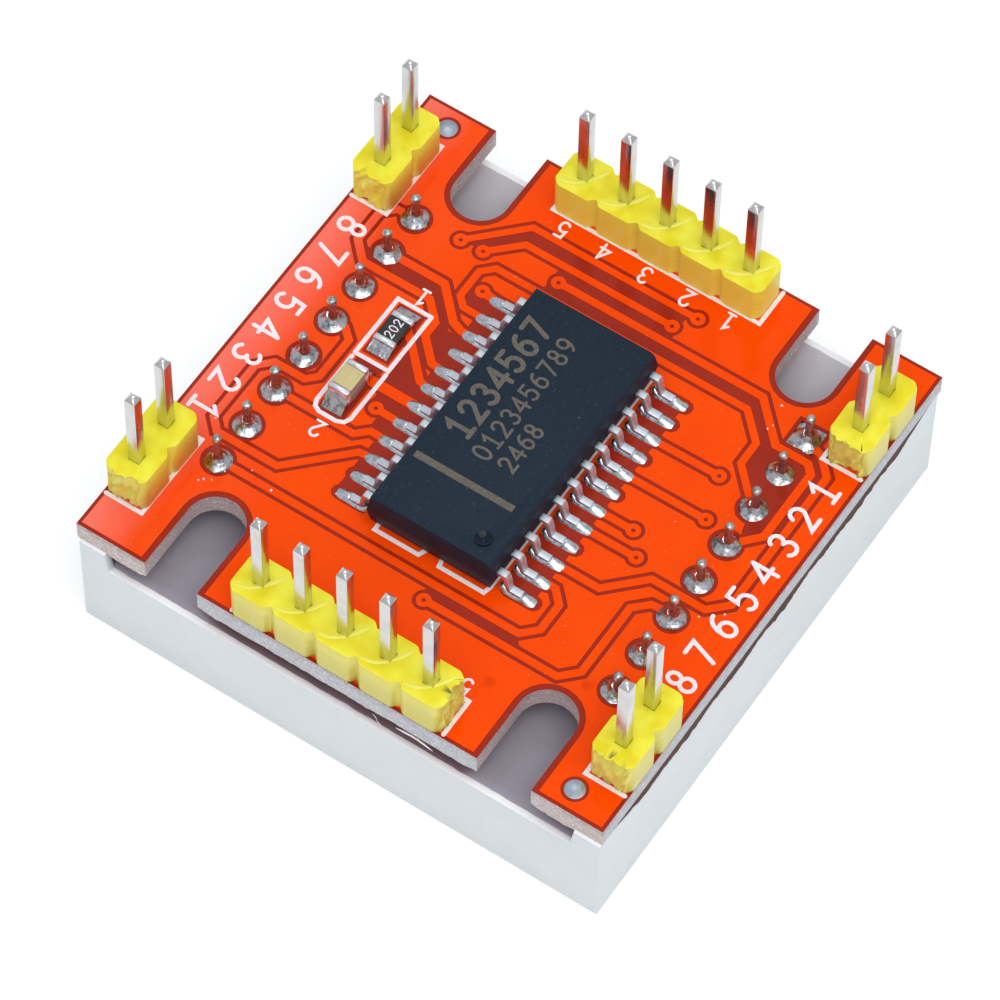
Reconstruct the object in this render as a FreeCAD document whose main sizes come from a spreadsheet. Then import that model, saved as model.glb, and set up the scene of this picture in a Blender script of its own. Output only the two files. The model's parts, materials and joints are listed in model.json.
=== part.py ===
# LED dot matrix, face down, with its driver board soldered to the display's pins.
# Lengths are millimetres. Z = 0 is the LED face, X runs along the front edge and Y to the back.
import FreeCAD
import Part
import Sketcher
import math
import os
import re

# Driving dimensions, which become the cells of the sheet
SIZES = {
    # display housing, a moulded reflector
    "side_gap": 0.6,
    "end_gap": 0.2,
    "housing_height": 7.1,
    "housing_right": 0.1,
    "housing_forward": 0.1,
    "wall": 0.5,
    "reflector_depth": 3.0,
    "post_width": 1.8,
    "front_notch": 1.4,
    "side_relief": 0.15,
    # dots
    "dots_per_side": 8,
    "dot_pitch": 4.0,
    "dot_rib": 1.0,
    "dot_flare": 1.1,
    # LED board, chips and potting inside the housing
    "led_board_gap": 0.3,
    "led_board_thickness": 1.0,
    "chip_side": 0.35,
    "chip_height": 0.2,
    "resin_below_rim": 0.1,
    # driver board
    "board_overhang": 0.2,
    "board_thickness": 1.3,
    "board_back": 0.1,
    "copper_relief": 0.04,
    "slot_inset": 5.8,
    "slot_width": 3.2,
    "slot_length": 5.45,
    "slot_overrun": 0.8,
    # display pins
    "pins_per_row": 8,
    "pin_pitch": 2.54,
    "dots_beside_rows": 2,
    "pin_width": 0.5,
    "pin_rise": 2.08,
    "pin_tip": 0.1,
    "pin_hole_gap": 0.12,
    "tall_pin_extra": 0.28,
    "short_pin_less": 0.25,
    # header strips and their square pins
    "header_width": 2.5,
    "header_height": 2.45,
    "header_notch": 0.35,
    "header_break": 0.12,
    "long_row_shift": -0.2,
    "pair_inset": 4.95,
    "post_side": 0.64,
    "post_rise": 8.1,
    "post_tail": 1.0,
    "post_tip": 0.2,
    "post_gap": 0.01,
    "post_hole_gap": 0.12,
    # driver chip
    "chip_length": 15.4,
    "chip_width": 7.5,
    "chip_top": 2.35,
    "chip_parting": 1.25,
    "chip_bottom": 0.2,
    "chip_draft": 8.0,
    "chip_bevel": 0.22,
    "dimple_across": 0.95,
    "dimple_depth": 0.08,
    "dimple_inset": 1.3,
    "leads_per_side": 12,
    "lead_width": 0.42,
    "lead_thickness": 0.25,
    "lead_reach": 1.45,
    "lead_foot": 0.75,
    "heel_lean": 0.06,
    "lead_shoulder": 0.42,
    # resistor and capacitor
    "passive_length": 2.0,
    "passive_width": 1.25,
    "resistor_height": 0.5,
    "capacitor_height": 1.25,
    "end_cap": 0.35,
    "end_cap_skin": 0.02,
    "passive_left": 8.93,
    "resistor_back": 2.4,
    "capacitor_forward": 1.7,
    # solder
    "pad_across": 1.6,
    "solder_rise": 0.55,
    "solder_neck": 0.12,
    "toe_length": 0.85,
    "toe_width": 0.62,
    "toe_height": 0.22,
    "tail_pad": 1.0,
    "tail_solder_rise": 0.65,
    "end_solder_length": 0.6,
    "end_solder_share": 0.6,
}

# Places and sizes that follow from the driving ones
DERIVED = {
    "housing_width": "dots_per_side * dot_pitch - side_gap",
    "housing_depth": "dots_per_side * dot_pitch - end_gap",
    "led_board_side": "housing_width - 2 * (wall + led_board_gap)",
    "resin_top": "housing_height - front_notch - resin_below_rim",
    "board_width": "housing_width + board_overhang",
    "board_depth": "housing_depth",
    "board_top": "housing_height + board_thickness",
    "pad_top": "board_top + copper_relief",
    "dot_mouth": "dot_pitch - dot_rib",
    "well_draft": "atan(dot_flare / 2 / reflector_depth)",
    "dot_field": "(dots_per_side - 1) * dot_pitch",
    "pin_field": "(pins_per_row - 1) * pin_pitch",
    "pin_row_spacing": "(dots_per_side - dots_beside_rows) * dot_pitch",
    "pin_hole": "pin_width + 2 * pin_hole_gap",
    "post_hole": "post_side + 2 * post_hole_gap",
    "header_pitch": "pin_pitch",
    "row_inset_x": "board_width / 2 - header_width / 2",
    "row_inset_y": "board_depth / 2 - header_width / 2",
    "pair_centre": "board_depth / 2 - pair_inset",
    "lead_field": "(leads_per_side - 1) * pin_pitch / 2",
    "lead_span": "chip_width + 2 * lead_reach",
    "shoulder_end": "chip_width / 2 + lead_shoulder",
    "toe_start": "lead_span / 2",
    "lead_root": "chip_width / 2",
    "parting_top": "chip_parting + lead_thickness / 2",
    "parting_under": "chip_parting - lead_thickness / 2",
    "knee": "lead_thickness / 2",
}

DOT_SIDES = 12
PIN_SIDES = 8
DIMPLE_SIDES = 16
LONG_HEADER_CELLS = 5
PAIR_CELLS = 2

doc = FreeCAD.newDocument("led_dot_matrix")
sheet = doc.addObject("Spreadsheet::Sheet", "sizes")
pieces = []


def fill_sheet():
    for row, (word, size) in enumerate(SIZES.items(), start=1):
        sheet.set("A%d" % row, word)
        sheet.set("B%d" % row, str(size))
        sheet.setAlias("B%d" % row, word)
    doc.recompute()


def formula(text):
    """Turn the words of a formula into references to the sheet's cells."""
    def reference(match):
        word = match.group(0)
        if word in DERIVED:
            return "(" + formula(DERIVED[word]) + ")"
        if word in SIZES:
            return "sizes." + word
        return word
    return re.sub(r"[a-z][a-z_]*", reference, str(text))


def number(text):
    """Today's value of a formula."""
    result = sheet.evalExpression(formula(text))
    return float(getattr(result, "Value", result))


def count(word):
    return int(round(number(word)))


def bind(thing, **formulas):
    """Tie properties of an object to formulas; a double underscore stands for a dot."""
    for name, text in formulas.items():
        thing.setExpression(name.replace("__", "."), formula(text))


def keep(thing):
    """Count an object as a sub-part, whose label names its file."""
    thing.Label = thing.Name
    pieces.append(thing)
    return thing


def new_body(name):
    return keep(doc.addObject("PartDesign::Body", name))


def place(thing, x="0", y="0", z="0", turn=0):
    """Stand a sub-part at a place given by formulas, turned about Z by degrees."""
    thing.Placement.Rotation = FreeCAD.Rotation(FreeCAD.Vector(0, 0, 1), turn)
    bind(thing, Placement__Base__x=x, Placement__Base__y=y, Placement__Base__z=z)
    return thing


def origin_feature(body, role):
    return [item for item in body.Origin.OriginFeatures if item.Role == role][0]


def new_sketch(body, plane, level="0"):
    sketch = body.newObject("Sketcher::SketchObject", body.Name + "_outline")
    sketch.AttachmentSupport = [(origin_feature(body, plane), "")]
    sketch.MapMode = "FlatFace"
    bind(sketch, AttachmentOffset__Base__z=level)
    return sketch


def fix_point(sketch, edge, end, x, y):
    """Hold one end of a sketch edge at a place given by two formulas."""
    for kind, text in (("DistanceX", x), ("DistanceY", y)):
        index = sketch.addConstraint(Sketcher.Constraint(kind, -1, 1, edge, end, number(text)))
        sketch.setExpression("Constraints[%d]" % index, formula(text))


def outline(body, corners, plane="XY_Plane", level="0"):
    """Closed outline through corners, each a pair of formulas."""
    sketch = new_sketch(body, plane, level)
    add_loop(sketch, corners)
    return sketch


def add_loop(sketch, corners):
    first = sketch.GeometryCount
    spots = [FreeCAD.Vector(number(x), number(y), 0) for x, y in corners]
    for index, spot in enumerate(spots):
        sketch.addGeometry(Part.LineSegment(spot, spots[(index + 1) % len(spots)]))
    for index, (x, y) in enumerate(corners):
        following = first + (index + 1) % len(corners)
        sketch.addConstraint(Sketcher.Constraint("Coincident", first + index, 2, following, 1))
        fix_point(sketch, first + index, 1, x, y)


def rectangle(width, depth, x="0", y="0"):
    """Corners of a rectangle about a centre, all formulas."""
    signs = ((-1, -1), (1, -1), (1, 1), (-1, 1))
    return [("%s + %d * (%s) / 2" % (x, i, width), "%s + %d * (%s) / 2" % (y, j, depth)) for i, j in signs]


def polygon(across, sides, x="0", y="0"):
    """Corners of a regular polygon whose corners lie on a circle of the given diameter."""
    corners = []
    for index in range(sides):
        angle = 2 * math.pi * (index + 0.5) / sides
        corners.append((
            "%s + %.9f * (%s)" % (x, math.cos(angle) / 2, across),
            "%s + %.9f * (%s)" % (y, math.sin(angle) / 2, across),
        ))
    return corners


def pad(body, sketch, length, down=False, both_ways=False):
    feature = body.newObject("PartDesign::Pad", body.Name + "_pad")
    feature.Profile = sketch
    feature.Reversed = down
    if both_ways:
        feature.SideType = "Symmetric"
    bind(feature, Length=length)
    return feature


def pocket(body, sketch, depth, upward=False):
    """Cut along -Z from the sketch, or along +Z when upward is set."""
    feature = body.newObject("PartDesign::Pocket", body.Name + "_pocket")
    feature.Profile = sketch
    feature.Reversed = upward
    bind(feature, Length=depth)
    return feature


def draft(body, feature, angle, below=False):
    """Lean the upright faces above the body's XY plane inwards, or those below it."""
    doc.recompute()
    side = -1 if below else 1
    names = ["Face%d" % index for index, face in enumerate(feature.Shape.Faces, start=1)
             if abs(face.normalAt(0, 0).z) < 1e-6 and side * face.CenterOfMass.z > 0]
    leaning = body.newObject("PartDesign::Draft", body.Name + "_draft")
    leaning.Base = (feature, names)
    leaning.NeutralPlane = (origin_feature(body, "XY_Plane"), [""])
    leaning.Reversed = below
    bind(leaning, Angle=angle)
    body.Tip = leaning
    return leaning


def grid(body, originals, across, copies_across, back="0", copies_back="1"):
    """Repeat features along X, and along Y where a second count is given."""
    feature = body.newObject("PartDesign::LinearPattern", body.Name + "_grid")
    feature.Originals = originals
    feature.Direction = (origin_feature(body, "X_Axis"), [""])
    feature.Direction2 = (origin_feature(body, "Y_Axis"), [""])
    bind(feature, Length=across, Occurrences=copies_across, Length2=back, Occurrences2=copies_back)
    body.Tip = feature
    return feature


def face_towards(feature, direction):
    """Names of a feature's outermost flat faces in one direction."""
    doc.recompute()
    reach = []
    for index, face in enumerate(feature.Shape.Faces, start=1):
        if face.normalAt(0, 0).dot(direction) > 0.999:
            reach.append((face.CenterOfMass.dot(direction), "Face%d" % index))
    furthest = max(reach)[0]
    return [name for height, name in reach if abs(height - furthest) < 1e-6]


def bevel(body, feature, directions, size):
    """Chamfer every edge around the outermost faces in the given directions."""
    names = []
    for direction in directions:
        names += face_towards(feature, direction)
    chamfer = body.newObject("PartDesign::Chamfer", body.Name + "_bevel")
    chamfer.Base = (feature, names)
    bind(chamfer, Size=size)
    body.Tip = chamfer
    return chamfer


UP = FreeCAD.Vector(0, 0, 1)
DOWN = FreeCAD.Vector(0, 0, -1)


def well_cores():
    """Grid of tapered cores, standing on the LED face, that leave the housing's wells."""
    body = doc.addObject("PartDesign::Body", "well_cores")
    first = polygon("dot_mouth", DOT_SIDES, "-dot_field / 2", "-dot_field / 2")
    core = pad(body, outline(body, first), "reflector_depth")
    cores = grid(body, [core], "dot_field", "dots_per_side", "dot_field", "dots_per_side")
    draft(body, cores, "well_draft")
    return body


def matrix_housing(cores):
    """White moulded reflector: 64 tapered wells, four walls, notched rims and corner posts."""
    body = doc.addObject("PartDesign::Body", "housing_tray")
    pad(body, outline(body, rectangle("housing_width", "housing_depth")), "housing_height")
    inside = rectangle("housing_width - 2 * wall", "housing_depth - 2 * wall")
    pocket(body, outline(body, inside, level="housing_height"), "housing_height - reflector_depth")
    front_and_back = rectangle("housing_width - 2 * post_width", "housing_depth + wall")
    pocket(body, outline(body, front_and_back, level="housing_height"), "front_notch")
    sides = rectangle("housing_width + wall", "housing_depth - 2 * post_width")
    pocket(body, outline(body, sides, level="housing_height"), "side_relief")
    housing = doc.addObject("Part::Cut", "matrix_housing")
    housing.Base = body
    housing.Tool = cores
    place(keep(housing), "housing_right", "-housing_forward")


def dot_lenses(cores):
    """Milky resin that was cast in the wells up to the chips, flush with the face."""
    chip_layer = doc.addObject("Part::Box", "chip_layer")
    bind(chip_layer, Length="housing_width", Width="housing_depth", Height="housing_height")
    place(chip_layer, "-housing_width / 2", "-housing_depth / 2", "reflector_depth - chip_height")
    lenses = doc.addObject("Part::Cut", "dot_lenses")
    lenses.Base = cores
    lenses.Tool = chip_layer
    place(keep(lenses), "housing_right", "-housing_forward")


def led_chips():
    """One LED chip over the throat of each well, on the underside of the LED board."""
    body = place(new_body("led_chips"), "housing_right", "-housing_forward")
    first = rectangle("chip_side", "chip_side", "-dot_field / 2", "-dot_field / 2")
    chip = pad(body, outline(body, first, level="reflector_depth - chip_height"), "chip_height")
    grid(body, [chip], "dot_field", "dots_per_side", "dot_field", "dots_per_side")


def pin_holes(body, across, level, depth):
    """Two rows of holes for the display's pins."""
    first = polygon(across, PIN_SIDES, "-pin_row_spacing / 2", "-pin_field / 2")
    hole = pocket(body, outline(body, first, level=level), depth)
    return grid(body, [hole], "pin_row_spacing", "2", "pin_field", "pins_per_row")


def led_board():
    """Small board that carries the LED chips and the display's pins."""
    body = place(new_body("led_board"), y="board_back")
    top = "reflector_depth + led_board_thickness"
    plate = rectangle("led_board_side", "led_board_side", "housing_right", "-housing_forward - board_back")
    pad(body, outline(body, plate, level="reflector_depth"), "led_board_thickness")
    pin_holes(body, "pin_width", top, "led_board_thickness")


def potting_resin():
    """Grey resin poured over the LED board, up to just under the notched rims."""
    body = place(new_body("potting_resin"), y="board_back")
    x, y = "housing_right", "-housing_forward - board_back"
    pool = rectangle("housing_width - 2 * wall", "housing_depth - 2 * wall", x, y)
    pad(body, outline(body, pool, level="reflector_depth"), "resin_top - reflector_depth")
    plate = rectangle("led_board_side", "led_board_side", x, y)
    sketch = outline(body, plate, level="reflector_depth")
    pocket(body, sketch, "led_board_thickness", upward=True)
    pin_holes(body, "pin_width", "resin_top", "resin_top - reflector_depth - led_board_thickness")


def display_pin(name, x, y, extra="0"):
    """Round-ended wire pin from the LED board up through the driver board."""
    body = place(new_body(name), x, y + " + board_back", "reflector_depth")
    length = "board_top + pin_rise - reflector_depth + " + extra
    wire = pad(body, outline(body, polygon("pin_width", PIN_SIDES)), length)
    bevel(body, wire, [UP], "pin_tip")


def display_pins():
    extras = {("left", 0): "tall_pin_extra", ("right", 0): "-short_pin_less"}
    for side, sign in (("left", "-"), ("right", "")):
        for index in range(count("pins_per_row")):
            name = "display_pin_%s_%d" % (side, index + 1)
            x = sign + "pin_row_spacing / 2"
            y = "-pin_field / 2 + %d * pin_pitch" % index
            display_pin(name, x, y, extras.get((side, index), "0"))


def driver_board():
    """Routed glass-fibre plate with a U slot near each corner and a hole for every pin."""
    body = place(new_body("driver_board"), y="board_back")
    plate = outline(body, rectangle("board_width", "board_depth"), level="housing_height")
    pad(body, plate, "board_thickness")
    for sign in (-1, 1):
        for end in (-1, 1):
            pocket(body, slot_outline(body, sign, end), "board_thickness")
    pin_holes(body, "pin_hole", "board_top", "board_thickness")
    for x, y, across, copies, back in header_pin_rows():
        hole = outline(body, rectangle("post_hole", "post_hole", x, y), level="board_top")
        cut = pocket(body, hole, "board_thickness")
        grid(body, [cut], across, copies, back, "2")


def slot_outline(body, sign, end):
    """U slot that opens on the front (end -1) or back (end 1) edge."""
    sketch = new_sketch(body, "XY_Plane", "board_top")
    left = "%d * (board_width / 2 - slot_inset) - slot_width / 2" % sign
    right = "%d * (board_width / 2 - slot_inset) + slot_width / 2" % sign
    mouth = "%d * (board_depth / 2 + slot_overrun)" % end
    turn = "%d * (board_depth / 2 - slot_length + slot_width / 2)" % end
    spots = [FreeCAD.Vector(number(x), number(y), 0)
             for x, y in ((left, mouth), (left, turn), (right, turn), (right, mouth))]
    bottom = FreeCAD.Vector(0, -end * number("slot_width") / 2, 0)
    middle = (spots[1] + spots[2]) / 2 + bottom
    sketch.addGeometry(Part.LineSegment(spots[0], spots[1]))
    sketch.addGeometry(Part.Arc(spots[1], middle, spots[2]))
    sketch.addGeometry(Part.LineSegment(spots[2], spots[3]))
    sketch.addGeometry(Part.LineSegment(spots[3], spots[0]))
    start, finish = (1, 2) if sketch.getPoint(1, 1).isEqual(spots[1], 1e-6) else (2, 1)
    sketch.addConstraint(Sketcher.Constraint("Tangent", 0, 2, 1, start))
    sketch.addConstraint(Sketcher.Constraint("Tangent", 1, finish, 2, 1))
    sketch.addConstraint(Sketcher.Constraint("Coincident", 2, 2, 3, 1))
    sketch.addConstraint(Sketcher.Constraint("Coincident", 3, 2, 0, 1))
    fix_point(sketch, 0, 1, left, mouth)
    fix_point(sketch, 3, 1, right, mouth)
    index = sketch.addConstraint(Sketcher.Constraint("DistanceY", -1, 1, 0, 2, number(turn)))
    sketch.setExpression("Constraints[%d]" % index, formula(turn))
    sketch.addConstraint(Sketcher.Constraint("Vertical", 0))
    return sketch


# Header strips: name, cells, centre x, centre y, quarter turn, ends that were snapped off
HEADERS = [
    ("front_header", LONG_HEADER_CELLS, "long_row_shift", "-row_inset_y", 0, (0, 1)),
    ("back_header", LONG_HEADER_CELLS, "long_row_shift", "row_inset_y", 0, (0, 0)),
    ("left_front_header", PAIR_CELLS, "-row_inset_x", "-pair_centre", 90, (1, 0)),
    ("left_back_header", PAIR_CELLS, "-row_inset_x", "pair_centre", 90, (1, 0)),
    ("right_front_header", PAIR_CELLS, "row_inset_x", "-pair_centre", 90, (1, 0)),
    ("right_back_header", PAIR_CELLS, "row_inset_x", "pair_centre", 90, (1, 0)),
]


def cell_offset(index, cells):
    return "(%g * header_pitch)" % (index - (cells - 1) / 2)


def header_pin_rows():
    """The header pins as patterns: first pin, reach and copies along X, reach of 2 copies along Y."""
    long_reach = "(%d - 1) * header_pitch" % LONG_HEADER_CELLS
    long_start = "long_row_shift - %s / 2" % long_reach
    rows = [(long_start, "-row_inset_y", long_reach, str(LONG_HEADER_CELLS), "2 * row_inset_y")]
    for index in range(PAIR_CELLS):
        y = "-pair_centre + " + cell_offset(index, PAIR_CELLS)
        rows.append(("-row_inset_x", y, "2 * row_inset_x", "2", "2 * pair_centre"))
    return rows


def strip_corners(cells, snapped):
    """Outline of a header strip: a row of eight-sided cells, with notches where it snaps."""
    half = "header_width / 2"
    nick = "header_notch"
    lower = []
    upper = []
    for index in range(cells):
        start = cell_offset(index - 0.5, cells)
        stop = cell_offset(index + 0.5, cells)
        if index == 0 and snapped[0]:
            start += " - header_break"
        if index == cells - 1 and snapped[1]:
            stop += " + header_break"
        lower.append((start, "-%s + %s" % (half, nick)))
        lower.append(("%s + %s" % (cell_offset(index - 0.5, cells), nick), "-" + half))
        lower.append(("%s - %s" % (cell_offset(index + 0.5, cells), nick), "-" + half))
        upper.append((start, "%s - %s" % (half, nick)))
        upper.append(("%s + %s" % (cell_offset(index - 0.5, cells), nick), half))
        upper.append(("%s - %s" % (cell_offset(index + 0.5, cells), nick), half))
    last = cell_offset(cells - 0.5, cells)
    if snapped[1]:
        last += " + header_break"
    lower.append((last, "-%s + %s" % (half, nick)))
    upper.append((last, "%s - %s" % (half, nick)))
    return lower + upper[::-1]


def header_strip(name, cells, x, y, turn, snapped):
    """Plastic strip of a pin header, seated on the board's solder mask."""
    body = place(new_body(name), x, y + " + board_back", "pad_top", turn)
    pad(body, outline(body, strip_corners(cells, snapped)), "header_height")
    first = "-(%d - 1) * header_pitch / 2" % cells
    hole_side = "post_side + 2 * post_gap"
    hole = rectangle(hole_side, hole_side, first)
    through = pocket(body, outline(body, hole, level="header_height"), "header_height")
    grid(body, [through], "(%d - 1) * header_pitch" % cells, str(cells))


def header_pin(name, x, y):
    """Square post with bevelled tips, pressed through the strip and the board."""
    body = place(new_body(name), x, y + " + board_back", "housing_height - post_tail")
    post = outline(body, rectangle("post_side", "post_side"))
    length = "post_tail + board_thickness + post_rise"
    bevel(body, pad(body, post, length), [UP, DOWN], "post_tip")


def headers():
    for name, cells, x, y, turn, snapped in HEADERS:
        header_strip(name, cells, x, y, turn, snapped)
        for index in range(cells):
            step = cell_offset(index, cells)
            pin_name = name.replace("header", "header_pin_%d" % (index + 1))
            if turn:
                header_pin(pin_name, x, y + " + " + step)
            else:
                header_pin(pin_name, x + " + " + step, y)


def chip_body():
    """Moulded body of the driver chip: two drafted halves, a bevel and a dimple by pin 1."""
    body = place(new_body("driver_chip_body"), y="board_back", z="board_top + chip_parting")
    around = rectangle("chip_width", "chip_length")
    upper = pad(body, outline(body, around), "chip_top - chip_parting")
    draft(body, upper, "chip_draft")
    lower = pad(body, outline(body, around), "chip_parting - chip_bottom", down=True)
    halves = draft(body, lower, "chip_draft", below=True)
    doc.recompute()
    crest = number("chip_top - chip_parting")
    edges = ["Edge%d" % index for index, edge in enumerate(halves.Shape.Edges, start=1)
             if edge.Length > crest and edge.CenterOfMass.x > crest
             and abs(edge.CenterOfMass.z - crest) < 1e-6]
    chamfer = body.newObject("PartDesign::Chamfer", "pin_one_bevel")
    chamfer.Base = (halves, edges)
    bind(chamfer, Size="chip_bevel")
    x = "chip_width / 2 - dimple_inset"
    y = "-chip_length / 2 + dimple_inset"
    around = polygon("dimple_across", DIMPLE_SIDES, x, y)
    dimple = outline(body, around, level="chip_top - chip_parting")
    body.Tip = pocket(body, dimple, "dimple_depth")


def lead_outline():
    """Side view of one gull-wing lead, as x and height above the board."""
    foot_top = "copper_relief + lead_thickness"
    return [
        ("lead_root", "parting_under"),
        ("shoulder_end - knee", "parting_under"),
        ("shoulder_end", "parting_under - knee"),
        ("toe_start - lead_foot - knee", "copper_relief + knee"),
        ("toe_start - lead_foot", "copper_relief"),
        ("toe_start", "copper_relief"),
        ("toe_start", foot_top),
        ("toe_start - lead_foot + knee", foot_top),
        ("toe_start - lead_foot + knee - heel_lean", foot_top + " + knee"),
        ("shoulder_end + lead_thickness", "parting_under"),
        ("shoulder_end + knee", "parting_top"),
        ("lead_root", "parting_top"),
    ]


def mirrored_outline(corners, sign):
    if sign > 0:
        return corners
    return [("-(%s)" % x, z) for x, z in corners]


def row_along_y(body, feature, length, copies):
    """Repeat one feature into a row along Y, centred on the feature."""
    row = body.newObject("PartDesign::LinearPattern", body.Name + "_row")
    row.Originals = [feature]
    row.Direction = (origin_feature(body, "Y_Axis"), [""])
    bind(row, Length=length, Occurrences=copies)
    body.Tip = row


def chip_leads():
    for side, sign in (("left", -1), ("right", 1)):
        name = "driver_chip_leads_" + side
        body = place(new_body(name), y="board_back - lead_field / 2", z="board_top")
        bent = outline(body, mirrored_outline(lead_outline(), sign), "XZ_Plane")
        lead = pad(body, bent, "lead_width", both_ways=True)
        row_along_y(body, lead, "lead_field", "leads_per_side")


def lead_solder():
    """A fillet of solder in front of every toe."""
    for side, sign in (("left", -1), ("right", 1)):
        name = "lead_solder_" + side
        body = place(new_body(name), y="board_back - lead_field / 2", z="board_top")
        corners = [
            ("toe_start", "0"),
            ("toe_start + toe_length", "0"),
            ("toe_start + toe_length", "copper_relief"),
            ("toe_start", "toe_height + copper_relief"),
        ]
        wedge = outline(body, mirrored_outline(corners, sign), "XZ_Plane")
        bead = pad(body, wedge, "toe_width", both_ways=True)
        row_along_y(body, bead, "lead_field", "leads_per_side")


def display_solder():
    """A cone of solder around every display pin, on the board's top."""
    body = place(new_body("display_pin_solder"), y="board_back", z="board_top")
    x, y = "-pin_row_spacing / 2", "-pin_field / 2"
    cone = pad(body, outline(body, polygon("pad_across", PIN_SIDES, x, y)), "solder_rise")
    slope = "atan((pad_across / 2 - pin_width / 2 - solder_neck) / solder_rise)"
    cones = grid(body, [cone], "pin_row_spacing", "2", "pin_field", "pins_per_row")
    draft(body, cones, slope)
    pin_holes(body, "pin_width", "solder_rise", "solder_rise")


def header_solder():
    """Solder around the header pins' tails, under the board."""
    body = place(new_body("header_pin_solder"), y="board_back", z="housing_height")
    slope = "atan((tail_pad - post_side) / 4 / tail_solder_rise)"
    for x, y, across, copies, back in header_pin_rows():
        foot = outline(body, rectangle("tail_pad", "tail_pad", x, y))
        cone = pad(body, foot, "tail_solder_rise", down=True)
        cones = grid(body, [cone], across, copies, back, "2")
    draft(body, cones, slope, below=True)
    for x, y, across, copies, back in header_pin_rows():
        hole = outline(body, rectangle("post_side", "post_side", x, y))
        grid(body, [pocket(body, hole, "tail_solder_rise")], across, copies, back, "2")


def passive(name, height, y):
    """Chip part lying along Y: a body and, at its ends, two plated caps."""
    length = "(passive_length - 2 * end_cap)"
    body = place(new_body(name + "_body"), "-passive_left", y + " + board_back", "pad_top")
    core = rectangle("passive_width - 2 * end_cap_skin", length)
    pad(body, outline(body, core, level="end_cap_skin"), height + " - 2 * end_cap_skin")
    caps = place(new_body(name + "_end_caps"), "-passive_left", y + " + board_back", "pad_top")
    for sign in (-1, 1):
        middle = "%d * (passive_length - end_cap) / 2" % sign
        end = rectangle("passive_width", "end_cap", y=middle)
        caps.Tip = pad(caps, outline(caps, end), height)


def passive_solder():
    """Solder fillets at both ends of the resistor and the capacitor."""
    body = place(new_body("passive_solder"), "-passive_left", "board_back", "board_top")
    lifts = (("resistor_back", "resistor_height"), ("-capacitor_forward", "capacitor_height"))
    for y, height in lifts:
        for sign in (-1, 1):
            near = "%s + %d * passive_length / 2" % (y, sign)
            far = "%s + %d * (passive_length / 2 + end_solder_length)" % (y, sign)
            lift = "copper_relief + end_solder_share * " + height
            wedge = [(near, "0"), (far, "0"), (far, "copper_relief"), (near, lift)]
            fillet = outline(body, wedge, "YZ_Plane")
            body.Tip = pad(body, fillet, "passive_width", both_ways=True)


def check_and_save():
    """Stop on any failed feature or broken shape, then write one file per sub-part."""
    doc.recompute()
    for thing in doc.Objects:
        if {"Invalid", "Error"} & set(thing.State):
            raise RuntimeError("failed: " + thing.Name)
    for piece in pieces:
        if piece.Shape.isNull() or not piece.Shape.isValid():
            raise RuntimeError("broken shape: " + piece.Label)
    os.makedirs("parts", exist_ok=True)
    for piece in pieces:
        piece.Shape.exportStep("parts/" + piece.Label + ".step")


fill_sheet()
cores = well_cores()
matrix_housing(cores)
dot_lenses(cores)
led_chips()
led_board()
potting_resin()
display_pins()
driver_board()
headers()
chip_body()
chip_leads()
passive("resistor", "resistor_height", "resistor_back")
passive("capacitor", "capacitor_height", "-capacitor_forward")
display_solder()
header_solder()
lead_solder()
passive_solder()
check_and_save()
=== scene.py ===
"""Looks of the LED dot matrix on its driver board: the board's copper and print, solder, posts and mouldings."""

import json
import math

import bmesh
import bpy
from mathutils import Matrix, Vector, noise


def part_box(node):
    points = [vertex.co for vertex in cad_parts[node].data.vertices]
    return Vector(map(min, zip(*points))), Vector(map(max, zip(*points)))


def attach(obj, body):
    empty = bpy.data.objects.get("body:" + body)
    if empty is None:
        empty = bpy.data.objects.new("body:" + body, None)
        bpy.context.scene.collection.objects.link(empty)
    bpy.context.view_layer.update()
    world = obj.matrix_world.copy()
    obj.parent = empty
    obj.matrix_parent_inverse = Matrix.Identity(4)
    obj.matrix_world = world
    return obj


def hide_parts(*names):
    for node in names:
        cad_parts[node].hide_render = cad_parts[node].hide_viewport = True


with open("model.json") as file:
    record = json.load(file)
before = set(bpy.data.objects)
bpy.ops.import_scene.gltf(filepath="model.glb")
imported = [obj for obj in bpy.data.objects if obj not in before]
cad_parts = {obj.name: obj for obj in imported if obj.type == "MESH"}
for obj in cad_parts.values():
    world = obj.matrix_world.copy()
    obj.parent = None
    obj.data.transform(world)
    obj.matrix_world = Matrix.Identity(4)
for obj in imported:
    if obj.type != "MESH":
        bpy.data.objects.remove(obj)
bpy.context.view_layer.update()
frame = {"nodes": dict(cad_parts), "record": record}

MM = 0.001
TURN = 2 * math.pi

# Places and levels in millimetres; a piece that stands on another reaches into it by SUNK
BOARD_LOW, BOARD_HIGH = (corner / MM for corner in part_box("driver_board"))
HOUSING_LOW, HOUSING_HIGH = (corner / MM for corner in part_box("matrix_housing"))
CENTRE_Y = (BOARD_LOW.y + BOARD_HIGH.y) / 2
LAMINATE = BOARD_HIGH.z
COPPER_TOP = LAMINATE + 0.032
PRINT_TOP = COPPER_TOP + 0.006
CHIP_TOP = LAMINATE + 2.35
NOTCH = HOUSING_HIGH.z - 1.4
SUNK = 0.01


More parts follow.
